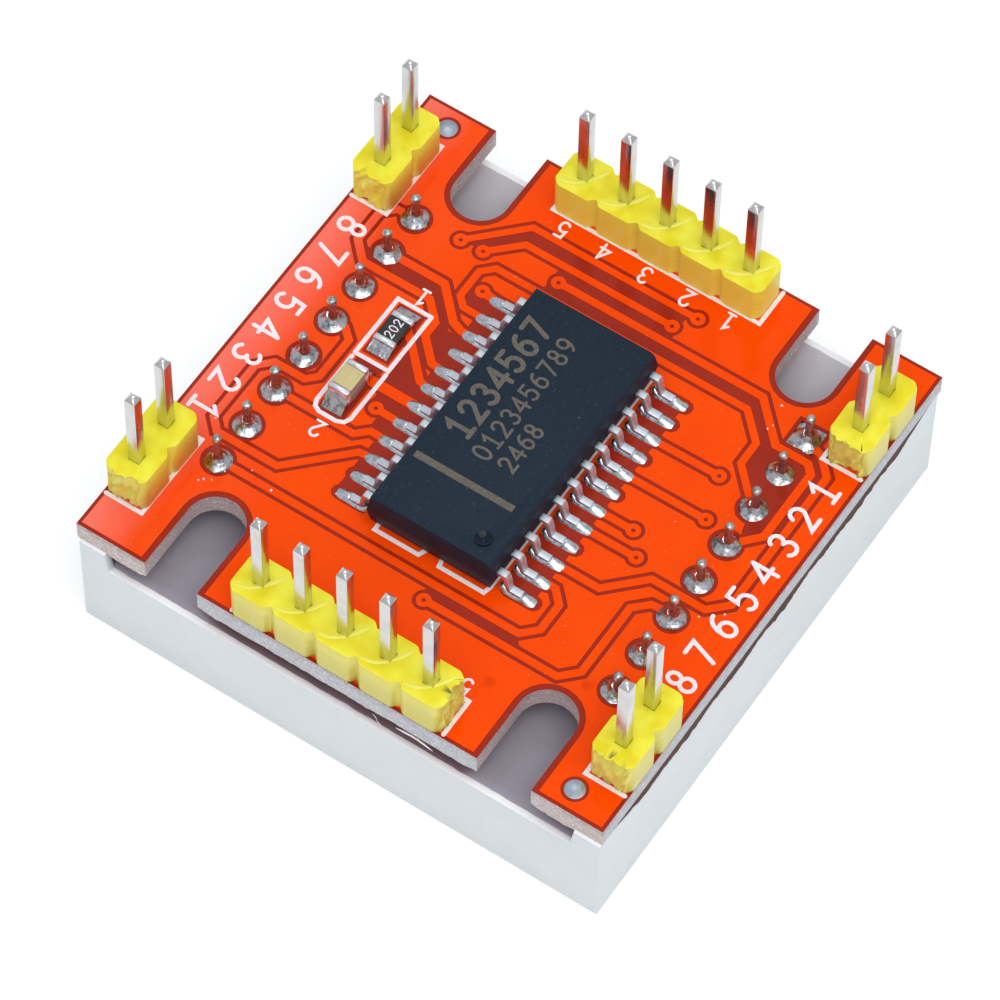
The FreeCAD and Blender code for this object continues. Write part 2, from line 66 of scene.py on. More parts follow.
class Signal:
    """A number that varies over a surface; arithmetic on it adds Math nodes."""

    def __init__(self, finish, socket):
        self.finish = finish
        self.socket = socket

    def join(self, operation, first, second):
        return self.finish.node("ShaderNodeMath", {"operation": operation}, {0: first, 1: second})

    def __add__(self, other):
        return self.join("ADD", self, other)

    def __radd__(self, other):
        return self.join("ADD", other, self)

    def __sub__(self, other):
        return self.join("SUBTRACT", self, other)

    def __rsub__(self, other):
        return self.join("SUBTRACT", other, self)

    def __mul__(self, other):
        return self.join("MULTIPLY", self, other)

    def __rmul__(self, other):
        return self.join("MULTIPLY", other, self)

    def above(self, other):
        return self.join("GREATER_THAN", self, other)

    def greatest(self, other):
        return self.join("MAXIMUM", self, other)


class Finish:
    """A material under construction."""

    def __init__(self, name, colour, roughness, **constants):
        self.material = bpy.data.materials.new(name)
        self.material.use_nodes = True
        self.tree = self.material.node_tree
        self.surface = self.tree.nodes["Principled BSDF"]
        self.place = self.node("ShaderNodeTexCoord", output="Object")
        self.set("Base Color", colour)
        self.set("Roughness", roughness)
        for socket, value in constants.items():
            self.set(socket.replace("_", " "), value)

    def node(self, kind, settings=None, sockets=None, output=0):
        """Add a node: its settings first, then the values or links of its sockets."""
        made = self.tree.nodes.new(kind)
        for name, value in (settings or {}).items():
            setattr(made, name, value)
        for name, value in (sockets or {}).items():
            self.feed(made.inputs[name], value)
        return Signal(self, made.outputs[output])

    def feed(self, socket, value):
        if isinstance(value, Signal):
            self.tree.links.new(value.socket, socket)
        elif socket.type == "RGBA":
            socket.default_value = (*value, 1.0)
        else:
            socket.default_value = value

    def set(self, socket, value):
        self.feed(self.surface.inputs[socket], value)

    def stretched(self, sx, sy, sz):
        """Object coordinates in millimetres, stretched along the axes."""
        scale = (sx / MM, sy / MM, sz / MM)
        return self.node("ShaderNodeMapping", None, {"Vector": self.place, "Scale": scale})

    def noise(self, scale, detail=4.0, roughness=0.55, place=None):
        """Cloudy pattern from 0 to 1; scale is in waves per millimetre."""
        place = place or self.stretched(1, 1, 1)
        sockets = {"Vector": place, "Scale": scale, "Detail": detail, "Roughness": roughness}
        return self.node("ShaderNodeTexNoise", None, sockets)

    def cells(self, scale):
        """Distance to the nearest of scattered points, in cells."""
        return self.node("ShaderNodeTexVoronoi", None, {"Vector": self.stretched(1, 1, 1), "Scale": scale})

    def ramp(self, signal, low, high):
        """Stretch the part of a signal between low and high to 0 and 1, and clamp it."""
        sockets = {"Value": signal, "From Min": low, "From Max": high}
        return self.node("ShaderNodeMapRange", {"clamp": True}, sockets)

    def mix(self, share, first, second):
        """Mix two colours."""
        made = self.tree.nodes.new("ShaderNodeMix")
        made.data_type = "RGBA"
        self.feed(made.inputs[0], share)
        self.feed(made.inputs[6], first)
        self.feed(made.inputs[7], second)
        return Signal(self, made.outputs[2])

    def parts(self, vector):
        """The x, y and z of a vector."""
        split = self.node("ShaderNodeSeparateXYZ", None, {0: vector}).socket.node
        return [Signal(self, part) for part in split.outputs]

    def position(self):
        """Place on the piece, in millimetres."""
        return self.parts(self.stretched(1, 1, 1))

    def upward(self):
        """How far the surface faces up, from -1 to 1."""
        return self.parts(self.node("ShaderNodeNewGeometry", output="Normal"))[2]

    def grain(self):
        """Fine grain of a moulded surface."""
        return self.noise(18.0, 3.0, 0.7)

    def bump(self, height, depth):
        """Raise the surface by a signal times a depth in millimetres."""
        sockets = {"Height": height, "Distance": depth * MM, "Strength": 1.0}
        self.set("Normal", self.node("ShaderNodeBump", None, sockets))

    def done(self, colour, height, depth):
        """Set the colour and the relief, and hand over the material."""
        self.set("Base Color", colour)
        self.bump(height, depth)
        return self.material


# Faint round stains in the mask: place and radius
STAINS = [(6.55, -12.0, 0.42), (10.65, -9.4, 0.38)]


def mask_over_copper():
    """Glossy orange solder mask on the raised copper, hazy towards the left edge."""
    finish = Finish("mask_over_copper", (0.92, 0.062, 0.002), 0.32, Specular_IOR_Level=0.04)
    x, y = finish.position()[:2]
    mask = finish.mix(finish.noise(0.35, 3.0), (0.90, 0.056, 0.0), (0.99, 0.082, 0.0))
    specks = 0.35 * finish.ramp(finish.noise(5.0, 2.0, 0.6), 0.70, 0.76)
    mask = finish.mix(specks, mask, (1.0, 0.40, 0.25))
    corner_haze = 0.8 * finish.ramp(x + 0.8 * finish.noise(0.4, 2.0), -12.3, -14.8)
    haze = corner_haze + 0.05 * finish.ramp(x, -8.0, -11.0)
    mask = finish.mix(haze, mask, (0.95, 0.19, 0.14))
    for stain_x, stain_y, radius in STAINS:
        across, along = x - stain_x, y - (stain_y + CENTRE_Y)
        ragged = across * across + along * along + 0.3 * finish.noise(1.5)
        stain = 0.45 * finish.ramp(ragged, radius * radius + 0.15, 0.1)
        mask = finish.mix(stain, mask, (0.45, 0.02, 0.0))
    return finish.done(mask, finish.noise(1.6, 2.0) + 0.3 * finish.noise(9.0, 2.0), 0.008)


def board_laminate():
    """Orange mask straight on the laminate is dark; the sawn edge shows pale glass fibre, cleanest on the outer rim."""
    finish = Finish("board_laminate", (0.33, 0.022, 0.008), 0.35, Specular_IOR_Level=0.06)
    x, y, z = finish.position()
    up = finish.upward()
    face = (up * up).above(0.5)
    # The rim lies 15.8 and 15.9 mm from the middle, the slots' walls lie further in
    fibre = finish.noise(2.2, 6.0, 0.7, finish.stretched(0.5, 0.5, 2.6))
    speck = finish.noise(7.0, 4.0, 0.75)
    front_or_back = (y * y).above(15.72 ** 2)
    rim = (x * x).above(15.7 ** 2).greatest(front_or_back)
    tab = finish.ramp(x * x, 9.0 ** 2, 11.5 ** 2) * front_or_back
    dark = finish.mix(rim, (0.42, 0.27, 0.28), finish.mix(tab, (0.46, 0.46, 0.49), (0.50, 0.42, 0.40)))
    pale = finish.mix(rim, (0.78, 0.66, 0.67), finish.mix(tab, (0.74, 0.76, 0.80), (0.82, 0.71, 0.68)))
    edge = finish.mix(fibre, dark, pale)
    streak = 0.35 * finish.ramp(z + 0.8 * finish.noise(1.1, 2.0), 8.3, 8.75)
    edge = finish.mix(streak, edge, (0.30, 0.27, 0.30))
    edge = finish.mix(finish.ramp(speck, 0.55, 0.66), edge, (0.95, 0.95, 0.98))
    edge = finish.mix(finish.ramp(speck, 0.40, 0.30), edge, (0.30, 0.22, 0.22))
    mask = finish.mix(finish.noise(0.5, 3.0), (0.29, 0.019, 0.007), (0.38, 0.028, 0.010))
    finish.set("Roughness", 0.75 - 0.45 * face)
    return finish.done(finish.mix(face, edge, mask), (fibre * 0.6 + speck) * (1 - face), 0.12)


def ink(name, solid, worn, limits, grain_scale, grain_roughness, depth):
    """Printed ink, worn where its grain is low."""
    finish = Finish(name, solid, 0.5)
    grain = finish.noise(grain_scale, 3.0, grain_roughness)
    return finish.done(finish.mix(finish.ramp(grain, *limits), worn, solid), grain, depth)


def metal(name, colour, roughness, wrinkle_scale, wrinkle_depth, dull=0.2, shade=0.72):
    """Tin, solder or plating: bright metal with its own wrinkles and dull patches."""
    finish = Finish(name, colour, roughness, Metallic=1.0)
    wave = finish.noise(wrinkle_scale, 3.0, 0.5)
    patch = finish.noise(1.8 * wrinkle_scale, 4.0, 0.6)
    darker = tuple(shade * part for part in colour)
    finish.set("Roughness", roughness + dull * finish.ramp(patch, 0.45, 0.70))
    return finish.done(finish.mix(finish.ramp(patch, 0.54, 0.36), colour, darker), wave, wrinkle_depth)


def yellow_plastic():
    """Header moulding: saturated yellow that lets some light through; the sides are painted darker than the top as
    shade, darkest on the front strip and the right strips.
    """
    finish = Finish("yellow_plastic", (0.86, 0.70, 0.005), 0.38, Subsurface_Weight=0.25, Subsurface_Scale=0.0006,
                    Subsurface_Radius=(1.0, 0.7, 0.1), Specular_IOR_Level=0.3)
    x, y = finish.position()[:2]
    top = finish.mix(finish.ramp(finish.noise(0.9, 1.5), 0.35, 0.65), (0.82, 0.70, 0.008), (0.90, 0.84, 0.050))
    streak = finish.noise(1.1, 4.0, 0.6, finish.stretched(1.0, 1.0, 4.0))
    # Painted shade: the sides of the front strip and the right strips are darkest
    inner = finish.ramp(y, -13.1, -12.5) * finish.ramp(x, 13.3, 12.7)
    side = finish.mix(streak, finish.mix(inner, (0.68, 0.59, 0.085), (0.80, 0.67, 0.060)),
                      finish.mix(inner, (0.78, 0.71, 0.16), (0.90, 0.80, 0.12)))
    # Painted shade: the sides get darker colours than the top
    colour = finish.mix(finish.ramp(finish.upward(), 0.3, 0.7), side, top)
    return finish.done(colour, streak + 0.4 * finish.noise(12.0, 3.0), 0.010)


def chip_moulding():
    """Blue-black moulding compound with the fine grain of a spark-eroded mould, and painted glints as pale specks."""
    finish = Finish("chip_moulding", (0.012, 0.022, 0.040), 0.42, Specular_IOR_Level=0.28)
    grain = finish.noise(26.0, 3.0, 0.75)
    body = finish.mix(finish.ramp(grain, 0.42, 0.66), (0.001, 0.008, 0.020), (0.005, 0.026, 0.052))
    # Painted glints: pale specks mixed into the base colour
    painted_glints = 0.6 * finish.ramp(finish.noise(11.0, 1.0), 0.70, 0.80)
    finish.set("Roughness", 0.38 + 0.25 * grain)
    return finish.done(finish.mix(painted_glints, body, (0.14, 0.19, 0.25)), grain + 0.4 * finish.cells(17.0), 0.020)


def moulding(name, dark, light, roughness, grain_depth=0.004, scale=0.6, **constants):
    """A plain moulded or cast surface with soft clouds and a fine grain."""
    finish = Finish(name, light, roughness, **constants)
    grain = finish.grain()
    finish.set("Roughness", 0.85 * roughness + 0.3 * roughness * grain)
    return finish.done(finish.mix(finish.noise(scale, 4.0), dark, light), grain + finish.noise(0.8, 2.0), grain_depth)


def housing_plastic():
    """Grey-white moulding; upward faces high on the walls, as on the rim of the notched walls, are painted paler as a
    highlight.
    """
    finish = Finish("white_housing", (0.69, 0.725, 0.74), 0.45)
    above_floor = finish.position()[2].above(5.0)
    # Painted highlight: upward faces more than 5 mm up are mixed towards near-white
    painted_rim_highlight = finish.ramp(finish.upward(), 0.4, 0.8) * above_floor
    clouds = finish.mix(finish.noise(0.6, 4.0), (0.62, 0.655, 0.675), (0.69, 0.725, 0.74))
    return finish.done(finish.mix(painted_rim_highlight, clouds, (0.93, 0.94, 0.95)), finish.grain() + finish.noise(0.8, 2.0), 0.004)


def potting(name, run=False):
    """Grey potting resin, paler towards the back; the resin run over the front wall gets painted shade under the board,
    in dark brown.
    """
    finish = Finish(name, (0.32, 0.30, 0.35), 0.42)
    x, y = finish.position()[:2]
    grey = finish.mix(finish.noise(0.25, 4.0), (0.29, 0.27, 0.325), (0.35, 0.33, 0.385))
    grey = finish.mix(finish.ramp(y, 8.0, 15.0), grey, (0.53, 0.52, 0.554))
    if run:
        # Painted shade: dark brown on the front where the board overhangs, grey towards the slots
        shade_under_board = finish.mix(finish.noise(0.8, 4.0), (0.15, 0.10, 0.115), (0.22, 0.15, 0.17))
        front = (0 - y).above(0.0)
        from_left = finish.ramp(x + 1.6 * finish.ramp(y, -15.66, -15.26), -7.6, -6.4)
        grey = finish.mix(from_left * finish.ramp(x, 8.0, 7.3) * front, grey, shade_under_board)
    return finish.done(grey, finish.grain() + finish.noise(0.8, 2.0), 0.02)


def ceramic_block():
    """Capacitor: cream on top, darker brown on the sides."""
    finish = Finish("capacitor_ceramic", (0.62, 0.50, 0.36), 0.35)
    grain = finish.noise(5.0, 4.0, 0.6)
    top = finish.mix(grain, (0.54, 0.44, 0.20), (0.66, 0.55, 0.27))
    side = finish.mix(grain, (0.26, 0.17, 0.14), (0.42, 0.30, 0.25))
    return finish.done(finish.mix(finish.ramp(finish.upward(), 0.3, 0.7), side, top), grain, 0.01)


FINISHES = {
    "white_housing": housing_plastic(),
    "lens_resin": moulding("lens_resin", (0.74, 0.75, 0.70), (0.84, 0.84, 0.79), 0.2),
    "led_chip": moulding("led_chip", (0.30, 0.26, 0.10), (0.55, 0.50, 0.25), 0.3),
    "inner_laminate": moulding("inner_laminate", (0.36, 0.24, 0.10), (0.50, 0.36, 0.18), 0.6),
    "grey_resin": potting("grey_resin"),
    "board_laminate": board_laminate(),
    "chip_moulding": chip_moulding(),
    "tinned_lead": metal("tinned_lead", (0.68, 0.73, 0.79), 0.46, 2.0, 0.006, 0.08, 0.86),
    "solder": metal("solder", (0.56, 0.57, 0.60), 0.18, 1.7, 0.07, 0.1, 0.45),
    "tinned_wire": metal("tinned_wire", (0.50, 0.50, 0.50), 0.28, 2.0, 0.03, 0.15, 0.6),
    "bright_post": metal("bright_post", (0.66, 0.65, 0.64), 0.23, 0.5, 0.002, 0.06, 0.9),
    "yellow_plastic": yellow_plastic(),
    "end_cap": metal("end_cap", (0.78, 0.81, 0.85), 0.28, 2.0, 0.012, 0.12, 0.82),
    "resistor_glaze": moulding("resistor_glaze", (0.010, 0.010, 0.012), (0.030, 0.030, 0.036), 0.25, 0.01),
    "capacitor_ceramic": ceramic_block(),
}
MASK = mask_over_copper()
PRINT_WHITE = ink("white_print", (0.93, 0.92, 0.95), (0.78, 0.66, 0.70), (0.35, 0.62), 14.0, 0.7, 0.006)
DIMPLE = moulding("dimple", (0.002, 0.006, 0.014), (0.004, 0.012, 0.026), 0.10, 0.0003, Specular_IOR_Level=0.22)
TOE_SOLDER = metal("toe_solder", (0.64, 0.68, 0.74), 0.24, 2.4, 0.035, 0.08, 0.66)
TARGET_TIN = metal("target_tin", (0.40, 0.46, 0.53), 0.34, 2.4, 0.014, 0.08, 0.85)
# Painted highlight: the ridges are a paler yellow than the strip's top
RIDGE_HIGHLIGHT = moulding("ridge_painted_highlight", (0.85, 0.78, 0.06), (0.91, 0.87, 0.17), 0.38, 0.004, 1.5,
                      Specular_IOR_Level=0.3)
# Painted shadow: dark brown for the sheet in the gap between board and housing on the right
SEAM_SHADOW = moulding("seam_painted_shadow", (0.030, 0.010, 0.008), (0.130, 0.055, 0.042), 0.6, 0.02, 3.0,
                      Specular_IOR_Level=0.1)
# Resin run over the walls, with painted shade under the board
RESIN_RUN_SHADED = potting("resin_run_shaded", run=True)
# Pale white of the loose glass fibres; it also paints the glints of the beads
PALE_FIBRE_AND_GLINT = moulding("pale_fibre_and_glint", (0.80, 0.70, 0.68), (0.94, 0.90, 0.90), 0.4, 0.004, 3.0)
CHIP_PRINT = ink("chip_ink", (0.18, 0.15, 0.10), (0.05, 0.05, 0.05), (0.40, 0.62), 22.0, 0.75, 0.012)

# CAD nodes and their material slots
SLOTS = {row["node"]: row["material_slot"] for row in frame["record"]["subparts"]}


def dress_cad_nodes():
    """Give every CAD node the finish of its material slot."""
    for name, thing in frame["nodes"].items():
        thing.data.materials.clear()
        thing.data.materials.append(FINISHES[SLOTS[name]])


def placed(name, data):
    """Put a mesh, lamp or camera in the scene."""
    thing = bpy.data.objects.new(name, data)
    bpy.context.scene.collection.objects.link(thing)
    return thing


def as_mesh(name, shape):
    """Turn a bmesh into a mesh and let go of it."""
    mesh = bpy.data.meshes.new(name)
    shape.to_mesh(mesh)
    shape.free()
    return mesh


def finished(name, shape, material, replaced=(), smooth=None):
    """Turn a bmesh, in millimetres, into a piece that rides on the part."""
    bmesh.ops.scale(shape, vec=(MM, MM, MM), verts=shape.verts)
    mesh = as_mesh(name, shape)
    mesh.materials.append(material)
    if smooth is not None:
        mesh.shade_smooth()
        mesh.set_sharp_from_angle(angle=math.radians(smooth))
    piece = placed(name, mesh)
    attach(piece, "root")
    if replaced:
        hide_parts(*replaced)


def joined(shape, part):
    """Close the open rims of a part, turn its faces outwards and add it to a bmesh."""
    rims = [edge for edge in part.edges if edge.is_boundary]
    if rims:
        bmesh.ops.edgeloop_fill(part, edges=rims)
    bmesh.ops.recalc_face_normals(part, faces=part.faces)
    if part.calc_volume(signed=True) < 0:
        bmesh.ops.reverse_faces(part, faces=part.faces)
    mesh = as_mesh("part", part)
    shape.from_mesh(mesh)
    bpy.data.meshes.remove(mesh)


# Radians between two faces, over which their edge is sharp
SHARP = 0.5


def copied(node):
    """A merged copy of a CAD node as a bmesh in millimetres."""
    shape = bmesh.new()
    shape.from_mesh(frame["nodes"][node].data)
    bmesh.ops.scale(shape, vec=(1 / MM, 1 / MM, 1 / MM), verts=shape.verts)
    bmesh.ops.remove_doubles(shape, verts=shape.verts, dist=1e-4)
    flat = [edge for edge in shape.edges if edge.is_manifold and edge.calc_face_angle() < 0.01]
    bmesh.ops.dissolve_limit(shape, angle_limit=0.01, verts=shape.verts, edges=flat)
    return shape


def rounded(node, width):
    """A copy of a CAD node with its sharp edges rounded."""
    shape = copied(node)
    sharp = [edge for edge in shape.edges if edge.is_manifold and edge.calc_face_angle() > SHARP]
    bmesh.ops.bevel(shape, geom=sharp, offset=width, offset_type="OFFSET", affect="EDGES",
                    segments=2, profile=0.5, material=-1, clamp_overlap=True)
    return shape


def round_cad_edges():
    """Moulded, cut and stamped pieces get the small edge radius of the real ones."""
    widths = {"driver_chip_leads_left": 0.03, "driver_chip_leads_right": 0.03,
              "resistor_body": 0.03, "resistor_end_caps": 0.05, "capacitor_body": 0.06,
              "capacitor_end_caps": 0.09}
    for node in frame["nodes"]:
        if "header_pin" in node and "solder" not in node:
            widths[node] = 0.04
    for node, width in widths.items():
        finished(node + "_rounded", rounded(node, width), FINISHES[SLOTS[node]], [node], 40)


# Copper: (net's points, width of the track), in millimetres from the board's centre
TRACKS = [
    ([(-9.31, 9.13), (-6.62, 11.87), (3.52, 11.87)], 0.38),
    ([(-7.95, 9.18), (-6.33, 10.77), (2.65, 10.77)], 0.40),
    ([(-3.65, 9.75), (8.82, 9.75), (10.92, 7.64), (12.86, 7.64), (13.32, 7.16), (13.32, 2.75), (12.6, 1.95),
      (12.0, 1.27)], 0.44),
    ([(-5.6, 5.72), (-6.9, 5.75), (-7.42, 6.27), (-7.42, 8.05), (-6.79, 8.68), (8.55, 8.68), (10.03, 7.2),
      (10.03, 5.75), (11.3, 4.46), (12.0, 3.81)], 0.40),
    ([(-5.6, 6.985), (-6.6, 7.1)], 0.5),
    ([(5.6, 4.45), (9.52, 4.5)], 0.42),
    ([(5.6, 1.92), (10.35, 1.95)], 0.42),
    ([(5.6, -0.63), (7.67, -0.62)], 0.42),
    ([(5.6, -1.9), (8.65, -1.88)], 0.42),
    ([(5.6, -4.42), (8.08, -4.42), (9.98, -2.5), (13.15, -2.5), (14.1, -1.55), (14.1, 7.45), (13.2, 8.4),
      (12.0, 8.89)], 0.42),
    ([(12.0, -3.81), (11.3, -3.7), (10.77, -3.74), (10.0, -4.5), (10.0, -8.94), (9.12, -9.83), (1.2, -9.86)], 0.42),
    ([(5.6, -5.62), (6.28, -5.64), (6.97, -6.35), (6.97, -8.06), (6.2, -8.84), (-11.2, -8.84), (-12.0, -8.89)], 0.42),
    ([(-12.0, 6.35), (-11.2, 6.42), (-8.5, 6.42), (-6.8, 4.7), (-6.2, 4.47), (-5.6, 4.45)], 0.46),
    ([(-12.0, 8.89), (-13.1, 8.89), (-13.76, 8.2), (-13.76, 6.2), (-12.78, 5.2), (-8.6, 5.2), (-7.55, 4.15),
      (-7.55, 3.22), (-6.3, 1.97), (-5.6, 1.91)], 0.44),
    ([(-8.6, 3.1), (-7.8, 2.36), (-6.2, 0.74), (-5.6, 0.64)], 0.44),
    ([(-8.95, -0.6), (-5.6, -0.62)], 0.6),
    ([(-5.6, -1.9), (-7.15, -1.86)], 0.42),
    ([(-5.6, -3.17), (-6.6, -3.14), (-7.24, -3.75), (-11.2, -3.75), (-12.0, -3.81)], 0.42),
    ([(-12.0, 1.27), (-11.25, 1.35), (-10.62, 0.8), (-10.62, -1.88), (-11.16, -2.42), (-13.0, -2.42), (-13.72, -3.14),
      (-13.72, -6.85), (-13.06, -7.5), (-9.36, -7.5), (-6.38, -4.5), (-5.6, -4.44)], 0.42),
]
TRACK_GAP = 0.21
PAD_GAP = 0.96

# Bare laminate between tracks where the copper pour was too narrow to reach
BARE = [
    [(-8.95, 9.05), (-8.1, 9.35), (-6.35, 11.1), (3.0, 11.1), (3.0, 11.6), (-6.5, 11.6)],
    [(-4.1, 9.9), (3.05, 9.9), (3.05, 10.5), (-4.1, 10.5)],
    [(-4.1, 8.9), (8.8, 8.9), (10.3, 7.3), (10.3, 5.95), (11.2, 5.0), (11.05, 3.8), (11.4, 3.0), (12.1, 2.85),
     (12.25, 2.3), (12.6, 2.3), (13.15, 2.85), (13.15, 7.1), (12.8, 7.5), (10.8, 7.5), (8.72, 9.6), (-4.1, 9.6)],
    [(0.9, -9.15), (6.35, -9.15), (6.75, -9.55), (0.9, -9.55)],
    [(-13.4, 5.5), (-8.5, 5.5), (-7.3, 4.3), (-7.3, 3.35), (-6.1, 2.15), (-4.2, 2.15), (-4.2, 4.1), (-6.7, 4.1),
     (-8.6, 6.1), (-11.3, 6.1), (-13.4, 6.1)],
    [(-7.75, 2.0), (-6.3, 0.5), (-4.2, 0.4), (-4.2, -0.25), (-7.75, -0.25)],
    [(-7.6, -1.0), (-4.2, -1.0), (-4.2, -1.6), (-7.6, -1.6)],
    [(-6.8, -2.2), (-4.2, -2.2), (-4.2, -2.9), (-6.8, -2.8)],
    [(-7.1, 6.0), (-4.2, 6.0), (-4.2, 6.7), (-7.1, 6.7)],
    [(-6.15, -6.75), (-4.0, -6.75), (-4.0, 6.8), (-6.0, 6.8)],
    [(3.85, -6.75), (5.8, -6.75), (5.8, 6.8), (3.85, 6.8)],
    [(-3.9, -7.3), (3.5, -7.3), (3.5, 7.3), (-3.9, 7.3)],
    [(12.75, 8.1), (13.3, 8.3), (14.3, 7.75), (14.3, 7.5), (13.4, 7.5)],
]

# Plated holes under the mask: they join both sides of the board
VIAS = [(-9.31, 9.13), (-7.95, 9.18), (-3.65, 9.74), (-6.6, 7.1), (3.52, 11.88), (2.65, 10.77), (9.52, 4.5),
        (10.35, 1.95), (7.67, -0.62), (8.65, -1.88), (1.2, -9.88), (-7.15, -1.85)]
VIA_HOLE, VIA_PAD, VIA_GAP = 0.12, 0.40, 0.60
# Bare discs that a placing machine aims at
TARGETS = [(-13.8, 14.6), (13.35, -14.65)]
TARGET_RADIUS, TARGET_GAP = 0.55, 0.72
# Tiny pale beads on the mask: painted glints beside the solder
GLINT_BEADS = [(-11.55, -9.42), (-11.35, -9.24), (-12.16, -10.43), (-11.97, -10.22), (-11.60, -10.03), (-13.57, -6.91),
         (-11.43, -4.21), (-8.77, -8.87), (-10.23, -8.43), (13.12, -3.03), (14.12, -2.20), (9.91, 9.82),
         (10.17, 8.57), (10.05, 8.24)]

# Rows of display pins, chip leads and header posts
PITCH, HALF_PITCH = 2.54, 1.27
DISPLAY_X = 12.0
DISPLAY_ROWS = [HALF_PITCH * step for step in (-7, -5, -3, -1, 1, 3, 5, 7)]
LEAD_ROWS = [-6.985 + HALF_PITCH * step for step in range(12)]
HEADER_POSTS = ([(-0.2 + PITCH * step, side) for side in (-14.65, 14.65) for step in (-2, -1, 0, 1, 2)]
                + [(x, y + HALF_PITCH * step) for x in (-14.55, 14.55) for y in (-10.95, 10.95) for step in (-1, 1)])

# White print: lines of one pen width
PEN = 0.24
LINES = [
    [(-6.4, 15.7), (-6.4, 13.4), (6.3, 13.4), (6.3, 15.7)],
    [(-6.4, -15.7), (-6.4, -13.5), (-6.0, -13.5)],
    [(5.9, -13.45), (6.3, -13.45), (6.3, -15.7)],
    [(-13.75, 13.45), (-13.4, 13.45), (-13.4, 8.3), (-15.6, 8.3)],
    [(-13.75, -8.35), (-13.4, -8.35), (-13.4, -13.62), (-15.6, -13.62)],
    [(13.3, 13.45), (13.3, 8.3), (15.6, 8.3)],
    [(13.3, -8.35), (13.3, -13.62), (15.6, -13.62)],
    [(-3.15, -7.25), (-3.15, -7.85), (-0.5, -7.85), (-0.3, -7.4)],
    [(0.65, -7.4), (0.75, -7.85), (3.45, -7.85), (3.55, -7.4), (3.55, 7.6)],
    [(-9.95, 0.35), (-7.88, 0.35), (-7.88, 4.3)],
    [(-7.9, 4.3), (-9.95, 4.3), (-9.95, 0.37)],
    [(-9.95, 0.1), (-9.95, -3.1), (-9.8, -3.45), (-9.45, -3.62), (-8.4, -3.62), (-8.0, -3.45), (-7.85, -3.1),
     (-7.85, 0.1)],
]
# Plain digits: text, place, height, turn in degrees
FIGURES = ([(str(5 - step), (-5.28 + PITCH * step, 12.62), 0.98, 180) for step in range(5)]
           + [(str(8 - step), (-14.45, 6.65 - 1.9 * step), 1.5, -90) for step in range(8)]
           + [(str(8 - step), (14.4, -6.65 + 1.9 * step), 1.5, 90) for step in range(8)]
           + [("1", (-8.95, 5.05), 0.95, 180), ("2", (-8.95, -4.55), 0.95, 180), ("5", (5.7, -12.85), 0.95, 180)])


def circle(x, y, radius, sides=24):
    """Corners of a circle."""
    return [(x + radius * math.cos(TURN * step / sides), y + radius * math.sin(TURN * step / sides))
            for step in range(sides)]


def capsule(line, width, cap=5):
    """Outline of a pen stroke along a line of points: mitred bends, round ends."""
    points = [Vector(point) for point in line]
    half = width / 2
    runs = [(end - start).normalized() for start, end in zip(points, points[1:])]
    left, right = [], []
    for place, point in enumerate(points):
        if 0 < place < len(points) - 1:
            side_in = Vector((-runs[place - 1].y, runs[place - 1].x))
            side_out = Vector((-runs[place].y, runs[place].x))
            mitre = (side_in + side_out).normalized()
            reach = half / max(0.4, mitre.dot(side_in))
            left.append(point + mitre * reach)
            right.append(point - mitre * reach)

    def round_end(centre, run):
        side = Vector((run.y, -run.x))
        return [centre + half * (side * math.cos(math.pi * step / cap) + run * math.sin(math.pi * step / cap))
                for step in range(cap + 1)]
    end, start = round_end(points[-1], runs[-1]), round_end(points[0], -runs[0])
    return [tuple(point) for point in right + end + left[::-1] + start]


def prism(shape, outline, low, high, shift=(0, CENTRE_Y)):
    """Add an upright prism on an outline to a bmesh."""
    corners = [shape.verts.new((x + shift[0], y + shift[1], low)) for x, y in outline]
    floor = shape.faces.new(corners)
    made = bmesh.ops.extrude_face_region(shape, geom=[floor])["geom"]
    for corner in made:
        if isinstance(corner, bmesh.types.BMVert):
            corner.co.z = high


def carved(base, steps):
    """Apply exact booleans with helper bmeshes and return the result as a bmesh."""
    things = []
    for shape in [base] + [helper for operation, helper in steps]:
        bmesh.ops.recalc_face_normals(shape, faces=shape.faces)
        things.append(placed("working", as_mesh("working", shape)))
    for (operation, helper), thing in zip(steps, things[1:]):
        step = things[0].modifiers.new(operation, "BOOLEAN")
        step.operation = operation
        step.solver = "EXACT"
        step.use_self = True
        step.object = thing
    shape = bmesh.new()
    shape.from_object(things[0], bpy.context.evaluated_depsgraph_get())
    for thing in things:
        bpy.data.meshes.remove(thing.data)
    return shape


def pour_outline():
    """Outline of the copper pour: it keeps a margin to the board's edge and its four U slots."""
    half_x, half_y = 15.6, 15.7
    slot_x, slot_half, slot_end, turns = 10.0, 1.93, 12.05, 12
    arc = [(slot_x + slot_half * math.cos(math.pi * step / turns),
            -slot_end + slot_half * math.sin(math.pi * step / turns)) for step in range(turns + 1)]
    right = [(half_x, -half_y), (slot_x + slot_half, -half_y)] + arc + [(slot_x - slot_half, -half_y)]
    front = right + [(-x, y) for x, y in reversed(right)]
    return front + [(x, -y) for x, y in reversed(front)]


def box_outline(x_low, y_low, x_high, y_high):
    """Corners of a rectangle."""
    return [(x_low, y_low), (x_high, y_low), (x_high, y_high), (x_low, y_high)]


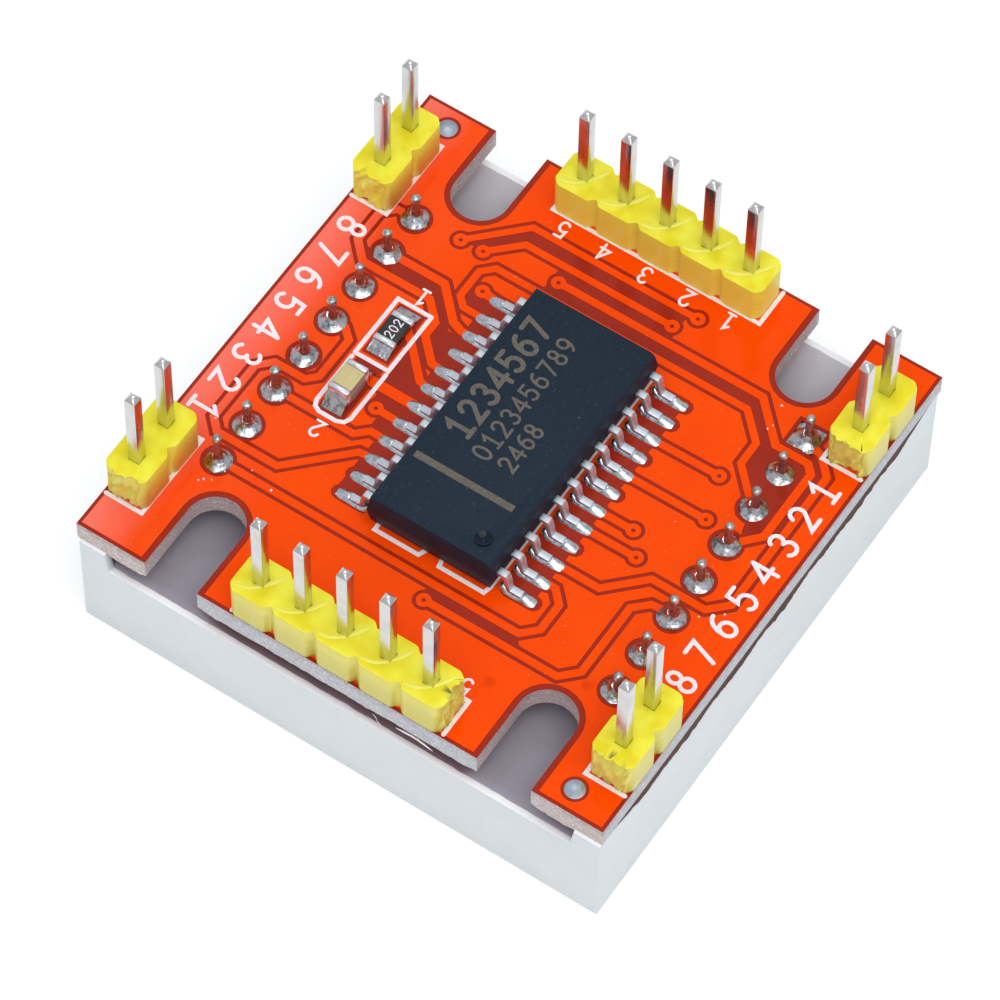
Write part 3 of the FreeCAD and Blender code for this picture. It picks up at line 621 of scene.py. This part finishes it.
def copper_sheet():
    """Copper pour and tracks under the mask: raised a little above the bare laminate."""
    low, high = LAMINATE - SUNK, COPPER_TOP
    pour, clear, tracks, openings = (bmesh.new() for layer in range(4))
    prism(pour, pour_outline(), low, high)
    gaps = list(BARE)
    for line, width in TRACKS:
        gaps.append(capsule(line, width + 2 * TRACK_GAP))
        prism(tracks, capsule(line, width), low, high)
    for x, y in VIAS:
        gaps.append(circle(x, y, VIA_GAP))
        prism(tracks, circle(x, y, VIA_PAD), low, high)
    gaps += [circle(x, y, TARGET_GAP) for x, y in TARGETS]
    square = (DISPLAY_X, DISPLAY_ROWS[-1])
    for x, y in [(side * DISPLAY_X, row) for row in DISPLAY_ROWS for side in (-1, 1)]:
        gaps.append(box_outline(x - 0.97, y - 0.97, x + 0.97, y + 0.97) if (x, y) == square else circle(x, y, PAD_GAP))
    gaps += [capsule([(side * 4.4, y), (side * 5.85, y)], 0.94) for y in LEAD_ROWS for side in (-1, 1)]
    gaps += [box_outline(-9.72, y_low, -8.1, y_high) for y_low, y_high in ((0.62, 4.12), (-3.4, 0.3))]
    for outline in gaps:
        prism(clear, outline, low - 0.05, high + 0.05)
    for x, y in VIAS:
        prism(openings, circle(x, y, VIA_HOLE, 12), low - 0.05, high + 0.05)
    pour = carved(pour, [("DIFFERENCE", clear), ("UNION", tracks), ("DIFFERENCE", openings)])
    finished("copper_under_mask", pour, MASK)


def bow(x, y, across, up, start, stop, steps=8):
    """Points of an elliptic arc, in turns."""
    return [(x + across * math.cos(TURN * (start + (stop - start) * step / steps)),
             y + up * math.sin(TURN * (start + (stop - start) * step / steps))) for step in range(steps + 1)]


# Pen strokes of plain digits in a cell 0.6 wide and 1 high
STROKES = {
    "0": [bow(0.3, 0.5, 0.26, 0.5, -0.25, 0.25, 10), bow(0.3, 0.5, 0.26, 0.5, 0.25, 0.75, 10)],
    "1": [[(0.1, 0.78), (0.32, 1.0), (0.32, 0.0)], [(0.1, 0.0), (0.54, 0.0)]],
    "2": [bow(0.3, 0.72, 0.25, 0.28, 0.47, -0.08, 8) + [(0.05, 0.0), (0.57, 0.0)]],
    "3": [bow(0.29, 0.76, 0.23, 0.24, 0.42, -0.22, 8), bow(0.29, 0.27, 0.26, 0.27, 0.22, -0.42, 9)],
    "4": [[(0.44, 0.0), (0.44, 1.0)], [(0.44, 0.98), (0.02, 0.3), (0.6, 0.3)]],
    "5": [[(0.53, 1.0), (0.12, 1.0), (0.08, 0.56)] + bow(0.29, 0.32, 0.26, 0.32, 0.3, -0.4, 9)],
    "6": [bow(0.48, 0.32, 0.42, 0.66, 0.25, 0.46, 5), bow(0.31, 0.3, 0.25, 0.3, 0.0, 0.5, 8),
          bow(0.31, 0.3, 0.25, 0.3, 0.5, 1.0, 8)],
    "7": [[(0.04, 1.0), (0.57, 1.0), (0.22, 0.0)]],
    "8": [bow(0.3, 0.76, 0.2, 0.24, -0.25, 0.25, 8), bow(0.3, 0.76, 0.2, 0.24, 0.25, 0.75, 8),
          bow(0.3, 0.26, 0.25, 0.26, -0.25, 0.25, 8), bow(0.3, 0.26, 0.25, 0.26, 0.25, 0.75, 8)],
    "9": [bow(0.29, 0.7, 0.25, 0.3, 0.0, 0.5, 8), bow(0.29, 0.7, 0.25, 0.3, 0.5, 1.0, 8),
          bow(0.12, 0.68, 0.42, 0.66, 0.0, -0.2, 5)],
}


def digits(text, place, height, turn, pen):
    """Outlines of plain digits, centred on a place."""
    angle = math.radians(turn)
    step = 0.84 * height
    outlines = []
    for index, digit in enumerate(text):
        left = (index - len(text) / 2) * step + 0.12 * height
        for stroke in STROKES[digit]:
            line = []
            for x, y in stroke:
                across, up = left + x * height, (y - 0.5) * height
                line.append((place[0] + across * math.cos(angle) - up * math.sin(angle),
                             place[1] + across * math.sin(angle) + up * math.cos(angle)))
            outlines.append(capsule(line, pen, 4))
    return outlines


def printed(name, outlines, under, top, material):
    """One layer of print from outlines, made one where they cross."""
    first, rest = bmesh.new(), bmesh.new()
    prism(first, outlines[0], under, top)
    for outline in outlines[1:]:
        prism(rest, outline, under, top)
    finished(name, carved(first, [("UNION", rest)]), material)


def board_print():
    """White lines around the parts, and plain digits where print belongs."""
    outlines = [capsule(line, PEN, 4) for line in LINES]
    for text, place, height, turn in FIGURES:
        outlines += digits(text, place, height, turn, 0.15 * height)
    printed("white_board_print", outlines, COPPER_TOP - 0.012, PRINT_TOP, PRINT_WHITE)


def glint_beads():
    """Pale beads of four sizes, all under 0.15 mm across: painted glints."""
    shape = bmesh.new()
    for place, (x, y) in enumerate(GLINT_BEADS):
        radius = 0.045 + 0.008 * (place * 5 % 4)
        spot = Matrix.Translation((x, y + CENTRE_Y, COPPER_TOP + 0.3 * radius))
        bmesh.ops.create_uvsphere(shape, u_segments=10, v_segments=6, radius=radius, matrix=spot)
    finished("glint_beads", shape, PALE_FIBRE_AND_GLINT, smooth=60)


def targets():
    """Tinned discs with soft edges."""
    shape = bmesh.new()
    for x, y in TARGETS:
        prism(shape, circle(x, y, TARGET_RADIUS, 32), LAMINATE - SUNK, LAMINATE + 0.025)
    bmesh.ops.recalc_face_normals(shape, faces=shape.faces)
    top = [edge for edge in shape.edges if min(vert.co.z for vert in edge.verts) > LAMINATE]
    bmesh.ops.bevel(shape, geom=top, offset=0.02, affect="EDGES", segments=2, profile=0.5, material=-1)
    finished("placing_targets", shape, TARGET_TIN, smooth=40)


def ripple(point, scale, depth):
    """Smooth wrinkle at a place in millimetres."""
    return depth * noise.noise(Vector(point) * scale)


def turned(shape, profile, centre, sides, lean=(0.0, 0.0), wrinkle=0.0, scale=2.5):
    """Spin a profile of (radius, height) pairs round an upright axis; it may lean and wrinkle."""
    part = bmesh.new()
    line = [part.verts.new((radius, 0, height)) for radius, height in profile]
    edges = [part.edges.new(pair) for pair in zip(line, line[1:])]
    bmesh.ops.spin(part, geom=line + edges, cent=(0, 0, 0), axis=(0, 0, 1), angle=TURN, steps=sides, use_merge=True)
    low, high = profile[0][1], profile[-1][1]
    for vert in part.verts:
        share = (vert.co.z - low) / (high - low)
        outward = Vector((vert.co.x, vert.co.y, 0))
        vert.co += Vector((centre[0] + lean[0] * share, centre[1] + lean[1] * share, 0))
        vert.co += outward.normalized() * min(1.0, outward.length / 0.3) * ripple(vert.co, scale, wrinkle)
    joined(shape, part)


def sheet(shape, across, along, place):
    """Lay a grid on the board, each of its corners where place(i, j) says, and close it underneath."""
    part = bmesh.new()
    made = bmesh.ops.create_grid(part, x_segments=across, y_segments=along, size=1.0)["verts"]
    for index, corner in enumerate(made):
        corner.co = place(index % (across + 1), index // (across + 1))
    joined(shape, part)


def swept(shape, rows):
    """Carry a closed outline from row to row: each row is extruded from the one before."""
    part = bmesh.new()
    ends = [part.faces.new([part.verts.new(place) for place in rows[0]])]
    for row in rows[1:]:
        made = bmesh.ops.extrude_face_region(part, geom=ends[-1:])["geom"]
        ends.append(next(item for item in made if isinstance(item, bmesh.types.BMFace)))
        for corner, place in zip(ends[-1].verts, row):
            corner.co = place
    bmesh.ops.delete(part, geom=ends[1:-1], context="FACES_ONLY")
    joined(shape, part)


def display_pins():
    """Round tinned wires with soldered tips: the right row leans a little to the right."""
    for side, sign, lean in (("left", -1, 0.02), ("right", 1, 0.10)):
        for place, row in enumerate(DISPLAY_ROWS):
            node = "display_pin_%s_%d" % (side, place + 1)
            low, high = (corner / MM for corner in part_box(node))
            top = high.z
            blob = 0.035 + 0.03 * ((place * 7 + (sign > 0) * 3) % 5) / 4
            profile = [(0.245, low.z), (0.245, top - 1.5), (0.215, top - 1.2), (0.21, top - 0.75),
                       (0.22 + blob / 2, top - 0.5), (0.22 + blob, top - 0.28), (0.20 + blob, top - 0.13),
                       (0.14 + blob, top - 0.04), (0.07, top)]
            tilt = (lean, 0.03 * ((place * 5) % 3 - 1))
            shape = bmesh.new()
            turned(shape, profile, (sign * DISPLAY_X, row + CENTRE_Y), 16, tilt, 0.03, 3.0)
            finished("tinned_pin_%s_%d" % (side, place + 1), shape, FINISHES["tinned_wire"], [node], 60)


def display_solder():
    """Concave cones of solder, wrinkled where they cooled; one of them stands on a square pad."""
    shape = bmesh.new()
    pad, wire, skirt = 0.755, 0.26, LAMINATE + 0.05
    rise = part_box("display_pin_solder")[1].z / MM - skirt
    profile = [(pad, LAMINATE - SUNK), (pad, skirt)]
    profile += [(wire + (pad - wire) * (1 - step / 8) ** 1.45, skirt + rise * step / 8) for step in range(1, 9)]
    for sign in (-1, 1):
        for row in DISPLAY_ROWS:
            turned(shape, profile, (sign * DISPLAY_X, row + CENTRE_Y), 32, (0.03 * sign, 0.02), 0.055, 2.6)

    def square_pad(i, j):
        x, y = DISPLAY_X + 1.5 * (i / 8 - 0.505), DISPLAY_ROWS[-1] + CENTRE_Y + 1.52 * (j / 8 - 0.5)
        bulge = 0.0 if i in (0, 8) or j in (0, 8) else 0.09 + ripple((x, y, 5), 1.7, 0.09)
        return x, y, LAMINATE + bulge
    sheet(shape, 8, 8, square_pad)
    finished("display_solder_cones", shape, FINISHES["solder"], ["display_pin_solder"], 50)


# Solder under and around one chip lead, as distance from the chip's middle and height
LEAD_FILLET = [(3.86, 0.05), (3.92, 0.26), (4.02, 0.36), (4.18, 0.33), (4.36, 0.19), (4.6, 0.15), (4.9, 0.16),
               (5.12, 0.22), (5.24, 0.27), (5.38, 0.235), (5.55, 0.18), (5.72, 0.14), (5.88, 0.10), (5.99, 0.05)]


def lead_solder():
    """A fillet along each soldered foot: heel behind, toe in front."""
    along, across = len(LEAD_FILLET) - 1, 8
    for side, sign in (("left", -1), ("right", 1)):
        shape = bmesh.new()
        for row, y in enumerate(LEAD_ROWS):
            def fillet(i, j):
                x, rise = LEAD_FILLET[i]
                share = 2 * j / across - 1
                half_width = 0.335 * (1 - 0.45 * abs(2 * i / along - 1) ** 5)
                away = y + half_width * share
                dome = 1 - abs(share) ** 2.6
                height = LAMINATE + dome * (rise + ripple((sign * x, away, row), 3.2, 0.05))
                return sign * x, away + CENTRE_Y, max(height, LAMINATE - 0.005)
            sheet(shape, along, across, fillet)
        finished("lead_fillets_" + side, shape, TOE_SOLDER, ["lead_solder_" + side], 70)


# Header strips: cells, centre, whether the row runs along X, and the way a snapped end faces
STRIPS = {
    "front_header": (5, (-0.2, -14.65), True, (1, 0)),
    "back_header": (5, (-0.2, 14.65), True, None),
}
for side_name, side_x in (("left", -14.55), ("right", 14.55)):
    for end_name, end_y in (("front", -10.95), ("back", 10.95)):
        STRIPS["%s_%s_header" % (side_name, end_name)] = (2, (side_x, end_y), False, (0, -1))


def header_strips():
    """Yellow strips: softly rounded, a shallow ridge on each cell, and torn faces where they were snapped off."""
    posts = [Vector((x, y + CENTRE_Y)) for x, y in HEADER_POSTS]

    def by_post(edge):
        return all(any((vert.co.xy - post).length < 0.5 for post in posts) for vert in edge.verts)
    ridges = bmesh.new()
    for node, (cells, (x, y), along_x, snapped) in STRIPS.items():
        shape = copied(node)
        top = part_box(node)[1].z / MM
        for upright, width in ((True, 0.12), (False, 0.15)):
            sharp = [edge for edge in shape.edges if edge.is_manifold and edge.calc_face_angle() > SHARP
                     and not by_post(edge)
                     and (abs(edge.verts[0].co.z - edge.verts[1].co.z) > 1 if upright
                          else all(vert.co.z > top - 0.001 for vert in edge.verts))]
            bmesh.ops.bevel(shape, geom=sharp, offset=width, affect="EDGES", segments=3, profile=0.5, material=-1,
                            clamp_overlap=True)
        if snapped:
            tear(shape, Vector((*snapped, 0)))
        finished(node + "_strip", shape, FINISHES["yellow_plastic"], [node], 35)
        for cell in range(cells if along_x else 0):
            ridge(ridges, Vector((x + PITCH * (cell - (cells - 1) / 2), y + CENTRE_Y)), top)
    finished("strip_ridges", ridges, RIDGE_HIGHLIGHT, smooth=70)


def ridge(shape, centre, top):
    """A low rounded ridge that sweeps over a cell, from one notch past the post to the opposite notch."""
    steps, across = 20, 8
    curve = [Vector((-1.12 + 2.06 * step / steps, -0.86 + 1.80 * (step / steps) ** 2.4)) for step in range(steps + 1)]
    rows = []
    for step, point in enumerate(curve):
        run = (curve[min(step + 1, steps)] - curve[max(step - 1, 0)]).normalized()
        side = Vector((-run.y, run.x))
        share = min(1.0, 8 * step / steps, 8 * (1 - step / steps))
        row = []
        for turn in range(across + 1):
            away = 2 * turn / across - 1
            spot = centre + point + side * (0.15 * away)
            row.append((*spot, top - 0.006 + 0.045 * share * math.cos(math.pi * away / 2) ** 2))
        rows.append(row)
    swept(shape, rows)


def tear(shape, outward):
    """Roughen the end face that points outward, as snapping leaves it."""
    shape.normal_update()
    reach = max(vert.co.dot(outward) for vert in shape.verts)
    ends = [face for face in shape.faces if face.calc_center_median().dot(outward) > reach - 0.06]
    bmesh.ops.triangulate(shape, faces=ends)
    for pass_length in (0.7, 0.35, 0.18):
        long_ones = [edge for edge in shape.edges if edge.calc_length() > pass_length
                     and all(vert.co.dot(outward) > reach - 0.25 for vert in edge.verts)]
        bmesh.ops.subdivide_edges(shape, edges=long_ones, cuts=1, use_grid_fill=False)
        bmesh.ops.triangulate(shape, faces=[face for face in shape.faces if len(face.verts) > 3])
    for vert in shape.verts:
        near = 1 - (reach - vert.co.dot(outward)) / 0.12
        if near > 0:
            rough = 0.45 + 0.9 * noise.noise(vert.co * 1.9) + 0.9 * noise.noise(vert.co * 6.5)
            vert.co -= outward * 0.34 * min(1.0, near) * min(1.0, max(0.0, rough))


def torn_fringe():
    """Glass fibre left hanging along the lower edge of the board by the router."""
    shape = bmesh.new()
    half_x, half_y = 15.79, 15.89
    edges = [((half_x, -half_y), (half_x, half_y)), ((-half_x, half_y), (-half_x, -half_y)),
             ((-8.3, -half_y), (8.3, -half_y)), ((8.3, half_y), (-8.3, half_y)),
             ((-half_x, -half_y), (-11.7, -half_y)), ((11.7, -half_y), (half_x, -half_y))]
    for start, end in edges:
        start, end = Vector(start), Vector(end)
        run = (end - start).normalized()
        inward = Vector((-run.y, run.x)) * 0.14
        deepest = 0.27 if abs(run.x) > 0.5 else 0.08
        count = int((end - start).length / 0.12)
        rows = []
        for step in range(count + 1):
            outer = start + (end - start) * step / count
            key = Vector((outer.x * 1.4, outer.y * 1.4, 3.7))
            drop = deepest * min(1.0, max(0.05, 0.50 + 0.5 * noise.noise(key * 0.6) + 0.3 * noise.noise(key * 4.3)))
            drop *= min(1.0, 20 * step / count, 20 * (1 - step / count))
            inner = outer + inward
            rows.append([(place.x, place.y + CENTRE_Y, BOARD_LOW.z + height) for place, height in
                         ((outer, 0.03), (outer, -drop), (inner, -0.6 * drop), (inner, 0.03))])
        swept(shape, rows)
    finished("torn_board_fringe", shape, FINISHES["board_laminate"], smooth=30)


def seam_ribbon(inner, outer, rise, widen):
    """Ragged strip along the seam on the right; the same edge serves the groove and what fills it."""
    rows, count = [], 300
    for step in range(count + 1):
        y = -14.95 + 29.9 * step / count
        hang = (0.80 + 0.36 * noise.noise(Vector((y * 0.45, 0, 0))) + 0.22 * noise.noise(Vector((y * 2.2, 1, 0)))
                + 0.12 * noise.noise(Vector((y * 7.0, 2, 0))))
        low = BOARD_LOW.z - min(1.0, 10 * step / count, 10 * (1 - step / count)) * max(0.12, hang) - widen
        rows.append([(HOUSING_HIGH.x + out, y, height) for out, height in
                     ((inner, BOARD_LOW.z + rise), (outer, BOARD_LOW.z + rise), (outer, low), (inner, low))])
    shape = bmesh.new()
    swept(shape, rows)
    return shape


def resin_and_seam_shadow():
    """A dark brown sheet of painted shadow in the seam on the right, and resin run over the notched walls with painted
    shade under the board.
    """
    finished("painted_shadow_in_seam", seam_ribbon(-0.06, -0.012, -0.004, 0.01), SEAM_SHADOW, smooth=60)
    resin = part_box("potting_resin")[1].z / MM
    start, end, steps = HOUSING_LOW.x + 1.75, HOUSING_HIGH.x - 1.75, 120
    shape = bmesh.new()
    for wall, sign in ((HOUSING_LOW.y, 1), (HOUSING_HIGH.y, -1)):
        rows = []
        for step in range(steps + 1):
            x = start + (end - start) * step / steps
            ragged = 0.05 * noise.noise(Vector((x * 1.3, sign, 0)))
            rows.append([(x, wall + sign * away, height) for away, height in
                         ((0.32 + ragged, NOTCH - 0.03), (0.44 + ragged, NOTCH + 0.03), (0.90, NOTCH + 0.01),
                          (2.2, resin - SUNK))])
        swept(shape, rows)
    finished("resin_on_wall", shape, RESIN_RUN_SHADED, smooth=50)


def loose_fibres():
    """Two fibres that lie on the front wall."""
    shape = bmesh.new()
    fibre(shape, [(3.6, -15.83, 6.76), (4.2, -15.85, 6.86), (4.75, -15.86, 6.92), (5.3, -15.86, 6.82),
                  (5.85, -15.86, 6.64)], 0.05)
    fibre(shape, [(2.2, -15.83, 6.80), (2.45, -15.86, 6.64), (2.55, -15.9, 6.45), (2.86, -15.93, 6.28)], 0.02)
    finished("loose_fibres", shape, PALE_FIBRE_AND_GLINT, smooth=70)


def fibre(shape, line, radius, sides=8, cuts=6):
    """A glass fibre on a smooth curve through a line of points; it thins out at its ends."""
    points = [Vector(point) for point in line]
    rows = []
    steps = cuts * (len(points) - 1)
    for step in range(steps + 1):
        index = min(step // cuts, len(points) - 2)
        share = step / cuts - index
        before, after = points[max(index - 1, 0)], points[min(index + 2, len(points) - 1)]
        here, there = points[index], points[index + 1]
        spot = 0.5 * (2 * here + (there - before) * share + (2 * before - 5 * here + 4 * there - after) * share ** 2
                      + (3 * here - before - 3 * there + after) * share ** 3)
        thin = radius * min(1.0, 0.25 + 4 * step / steps, 0.25 + 4 * (1 - step / steps))
        rows.append([(spot.x, spot.y + across, spot.z + up) for across, up in circle(0, 0, thin, sides)])
    swept(shape, rows)


def chip_print():
    """Faint warm print on the chip: a bar and plain digits."""
    outlines = [box_outline(-3.2, -4.35, 2.75, -3.95)]
    for text, place, height, pen in (("1234567", (-2.2, 1.9), 1.4, 0.26), ("0123456789", (-0.4, 1.6), 1.02, 0.15),
                                     ("2468", (1.05, -0.95), 0.95, 0.15)):
        outlines += digits(text, place, height, 90, pen)
    printed("chip_print", outlines, CHIP_TOP - 0.004, CHIP_TOP + 0.003, CHIP_PRINT)


def resistor_print():
    """Plain digits on the resistor's glaze."""
    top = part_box("resistor_body")[1].z / MM
    outlines = digits("2", (-8.93, 2.80), 0.50, 90, 0.065) + digits("20", (-8.93, 2.17), 0.50, 90, 0.065)
    printed("resistor_print", outlines, top - 0.004, top + 0.004, PRINT_WHITE)


def chip_body():
    """The moulded body with soft edges, and the polished ejector dish beside the first pin."""
    centre, sides, film = (2.45, -6.4 + CENTRE_Y), 40, 0.012
    radius, depth = 0.47, 0.17
    ball = (radius ** 2 + depth ** 2) / (2 * depth)
    bottom = CHIP_TOP - depth
    swings = [math.asin(radius / ball) * step / 10 for step in range(1, 11)]
    curve = [(ball * math.sin(swing), bottom + ball * (1 - math.cos(swing))) for swing in swings]
    cutter = bmesh.new()
    turned(cutter, [(0.01, bottom - 0.02)] + [(reach + 0.002, height - 0.02) for reach, height in curve[:-1]]
           + [(radius, CHIP_TOP + 0.1)], centre, sides)
    body = carved(rounded("driver_chip_body", 0.07), [("DIFFERENCE", cutter)])
    finished("driver_chip_moulding", body, FINISHES["chip_moulding"], ["driver_chip_body"], 40)
    dish = bmesh.new()
    turned(dish, [(0.01, bottom - film)] + [(reach, height - film) for reach, height in curve]
           + curve[::-1] + [(0.01, bottom)], centre, sides)
    finished("polished_dimple", dish, DIMPLE, smooth=60)


def tray_and_lenses():
    """The moulded reflector with truly round wells, and the resin lenses in them."""
    low, high = HOUSING_LOW, HOUSING_HIGH
    middle = (low + high) / 2
    half_x, half_y = (high.x - low.x) / 2, (high.y - low.y) / 2
    wall, floor, post, trim, over = 0.5, 3.0, 1.8, 0.15, 0.1
    wide, narrow = 1.5, 0.95
    draft = (wide - narrow) / floor * over

    def block(hx, hy, z0, z1):
        shape = bmesh.new()
        prism(shape, box_outline(-hx, -hy, hx, hy), z0, z1, (middle.x, middle.y))
        return shape
    inside = block(half_x - wall, half_y - wall, floor, high.z + 1)
    notch = block(half_x - post, half_y + 1, NOTCH, high.z + 1)
    for vert in notch.verts:
        if vert.co.z > high.z:
            vert.co.x += math.copysign(0.38, vert.co.x - middle.x)
    relief = block(half_x + 1, half_y - post, high.z - trim, high.z + 1)
    wells, lenses = bmesh.new(), bmesh.new()
    for column in range(8):
        for row in range(8):
            centre = (middle.x + 4 * (column - 3.5), middle.y + 4 * (row - 3.5))
            turned(wells, [(wide + draft, -over), (narrow - draft, floor + over)], centre, 40)
            turned(lenses, [(1.40, 0.006), (1.47, 0.012), (1.497, 0.04), (1.0, 2.8)], centre, 40)
    groove = seam_ribbon(-0.05, 0.1, 0.1, 0.0)
    tray = carved(block(half_x, half_y, 0, high.z),
                  [("DIFFERENCE", cutter) for cutter in (inside, notch, relief, wells, groove)])
    bmesh.ops.remove_doubles(tray, verts=tray.verts, dist=1e-5)
    outer = [edge for edge in tray.edges if edge.is_manifold and edge.calc_face_angle() > 1.3
             and edge.calc_length() > 1.0]
    bmesh.ops.bevel(tray, geom=outer, offset=0.10, affect="EDGES", segments=2, profile=0.5, material=-1)
    finished("moulded_reflector", tray, FINISHES["white_housing"], ["matrix_housing"], 40)
    finished("round_lenses", lenses, FINISHES["lens_resin"], ["dot_lenses"], 40)


def camera():
    """Camera solved from the photograph: it looks down on the board from the front right."""
    azimuth, elevation, roll = (math.radians(angle) for angle in (32.637, 58.581, 1.154))
    distance, focal_pixels, picture = 300.71 * MM, 5962.9, 1000
    aim = Vector((1.109, CENTRE_Y - 2.866, LAMINATE)) * MM
    back = Vector((math.sin(azimuth) * math.cos(elevation), -math.cos(azimuth) * math.cos(elevation),
                   math.sin(elevation)))
    lens = bpy.data.cameras.new("camera")
    lens.sensor_width = 36
    lens.lens = focal_pixels * lens.sensor_width / picture
    lens.clip_start, lens.clip_end = 0.01, 10
    eye = placed("camera", lens)
    turn = (-back).to_track_quat("-Z", "Y").to_matrix().to_4x4()
    eye.matrix_world = Matrix.Translation(aim + back * distance) @ turn @ Matrix.Rotation(roll, 4, "Z")
    bpy.context.scene.camera = eye


def lamp(name, place, aim, size, watts):
    """A square soft lamp; places and sizes are in metres."""
    light = bpy.data.lights.new(name, "AREA")
    light.shape = "RECTANGLE"
    light.size = light.size_y = size
    light.energy = watts
    thing = placed(name, light)
    thing.location = place
    thing.rotation_euler = (Vector(aim) - Vector(place)).to_track_quat("-Z", "Y").to_euler()


def studio():
    """Pale floor, white surroundings, two large soft lamps and a small one for glints on the metal."""
    world = bpy.data.worlds.new("studio")
    world.use_nodes = True
    sky = world.node_tree.nodes["Background"].inputs
    sky["Color"].default_value = (0.95, 0.97, 1.0, 1)
    sky["Strength"].default_value = 0.62
    bpy.context.scene.world = world
    bpy.context.scene.view_settings.view_transform = "Standard"
    lamp("key", (0.22, -0.12, 0.60), (0, 0, 0), 0.60, 1.95)
    lamp("fill", (0.10, -0.36, 0.52), (0, 0, 0), 0.40, 0.5)
    lamp("spark", (-0.225, 0.351, 0.682), (0, 0, 0.008), 0.05, 0.27)
    floor = bmesh.new()
    bmesh.ops.create_grid(floor, x_segments=1, y_segments=1, size=1.5)
    paper = Finish("floor_paper", (0.74, 0.74, 0.74), 0.8, Emission_Color=(1.0, 1.0, 1.0), Emission_Strength=0.32)
    thing = placed("floor", as_mesh("floor", floor))
    thing.data.materials.append(paper.material)


dress_cad_nodes()
round_cad_edges()
tray_and_lenses()
copper_sheet()
board_print()
targets()
glint_beads()
display_pins()
display_solder()
lead_solder()
header_strips()
torn_fringe()
resin_and_seam_shadow()
loose_fibres()
chip_print()
resistor_print()
chip_body()
camera()
studio()
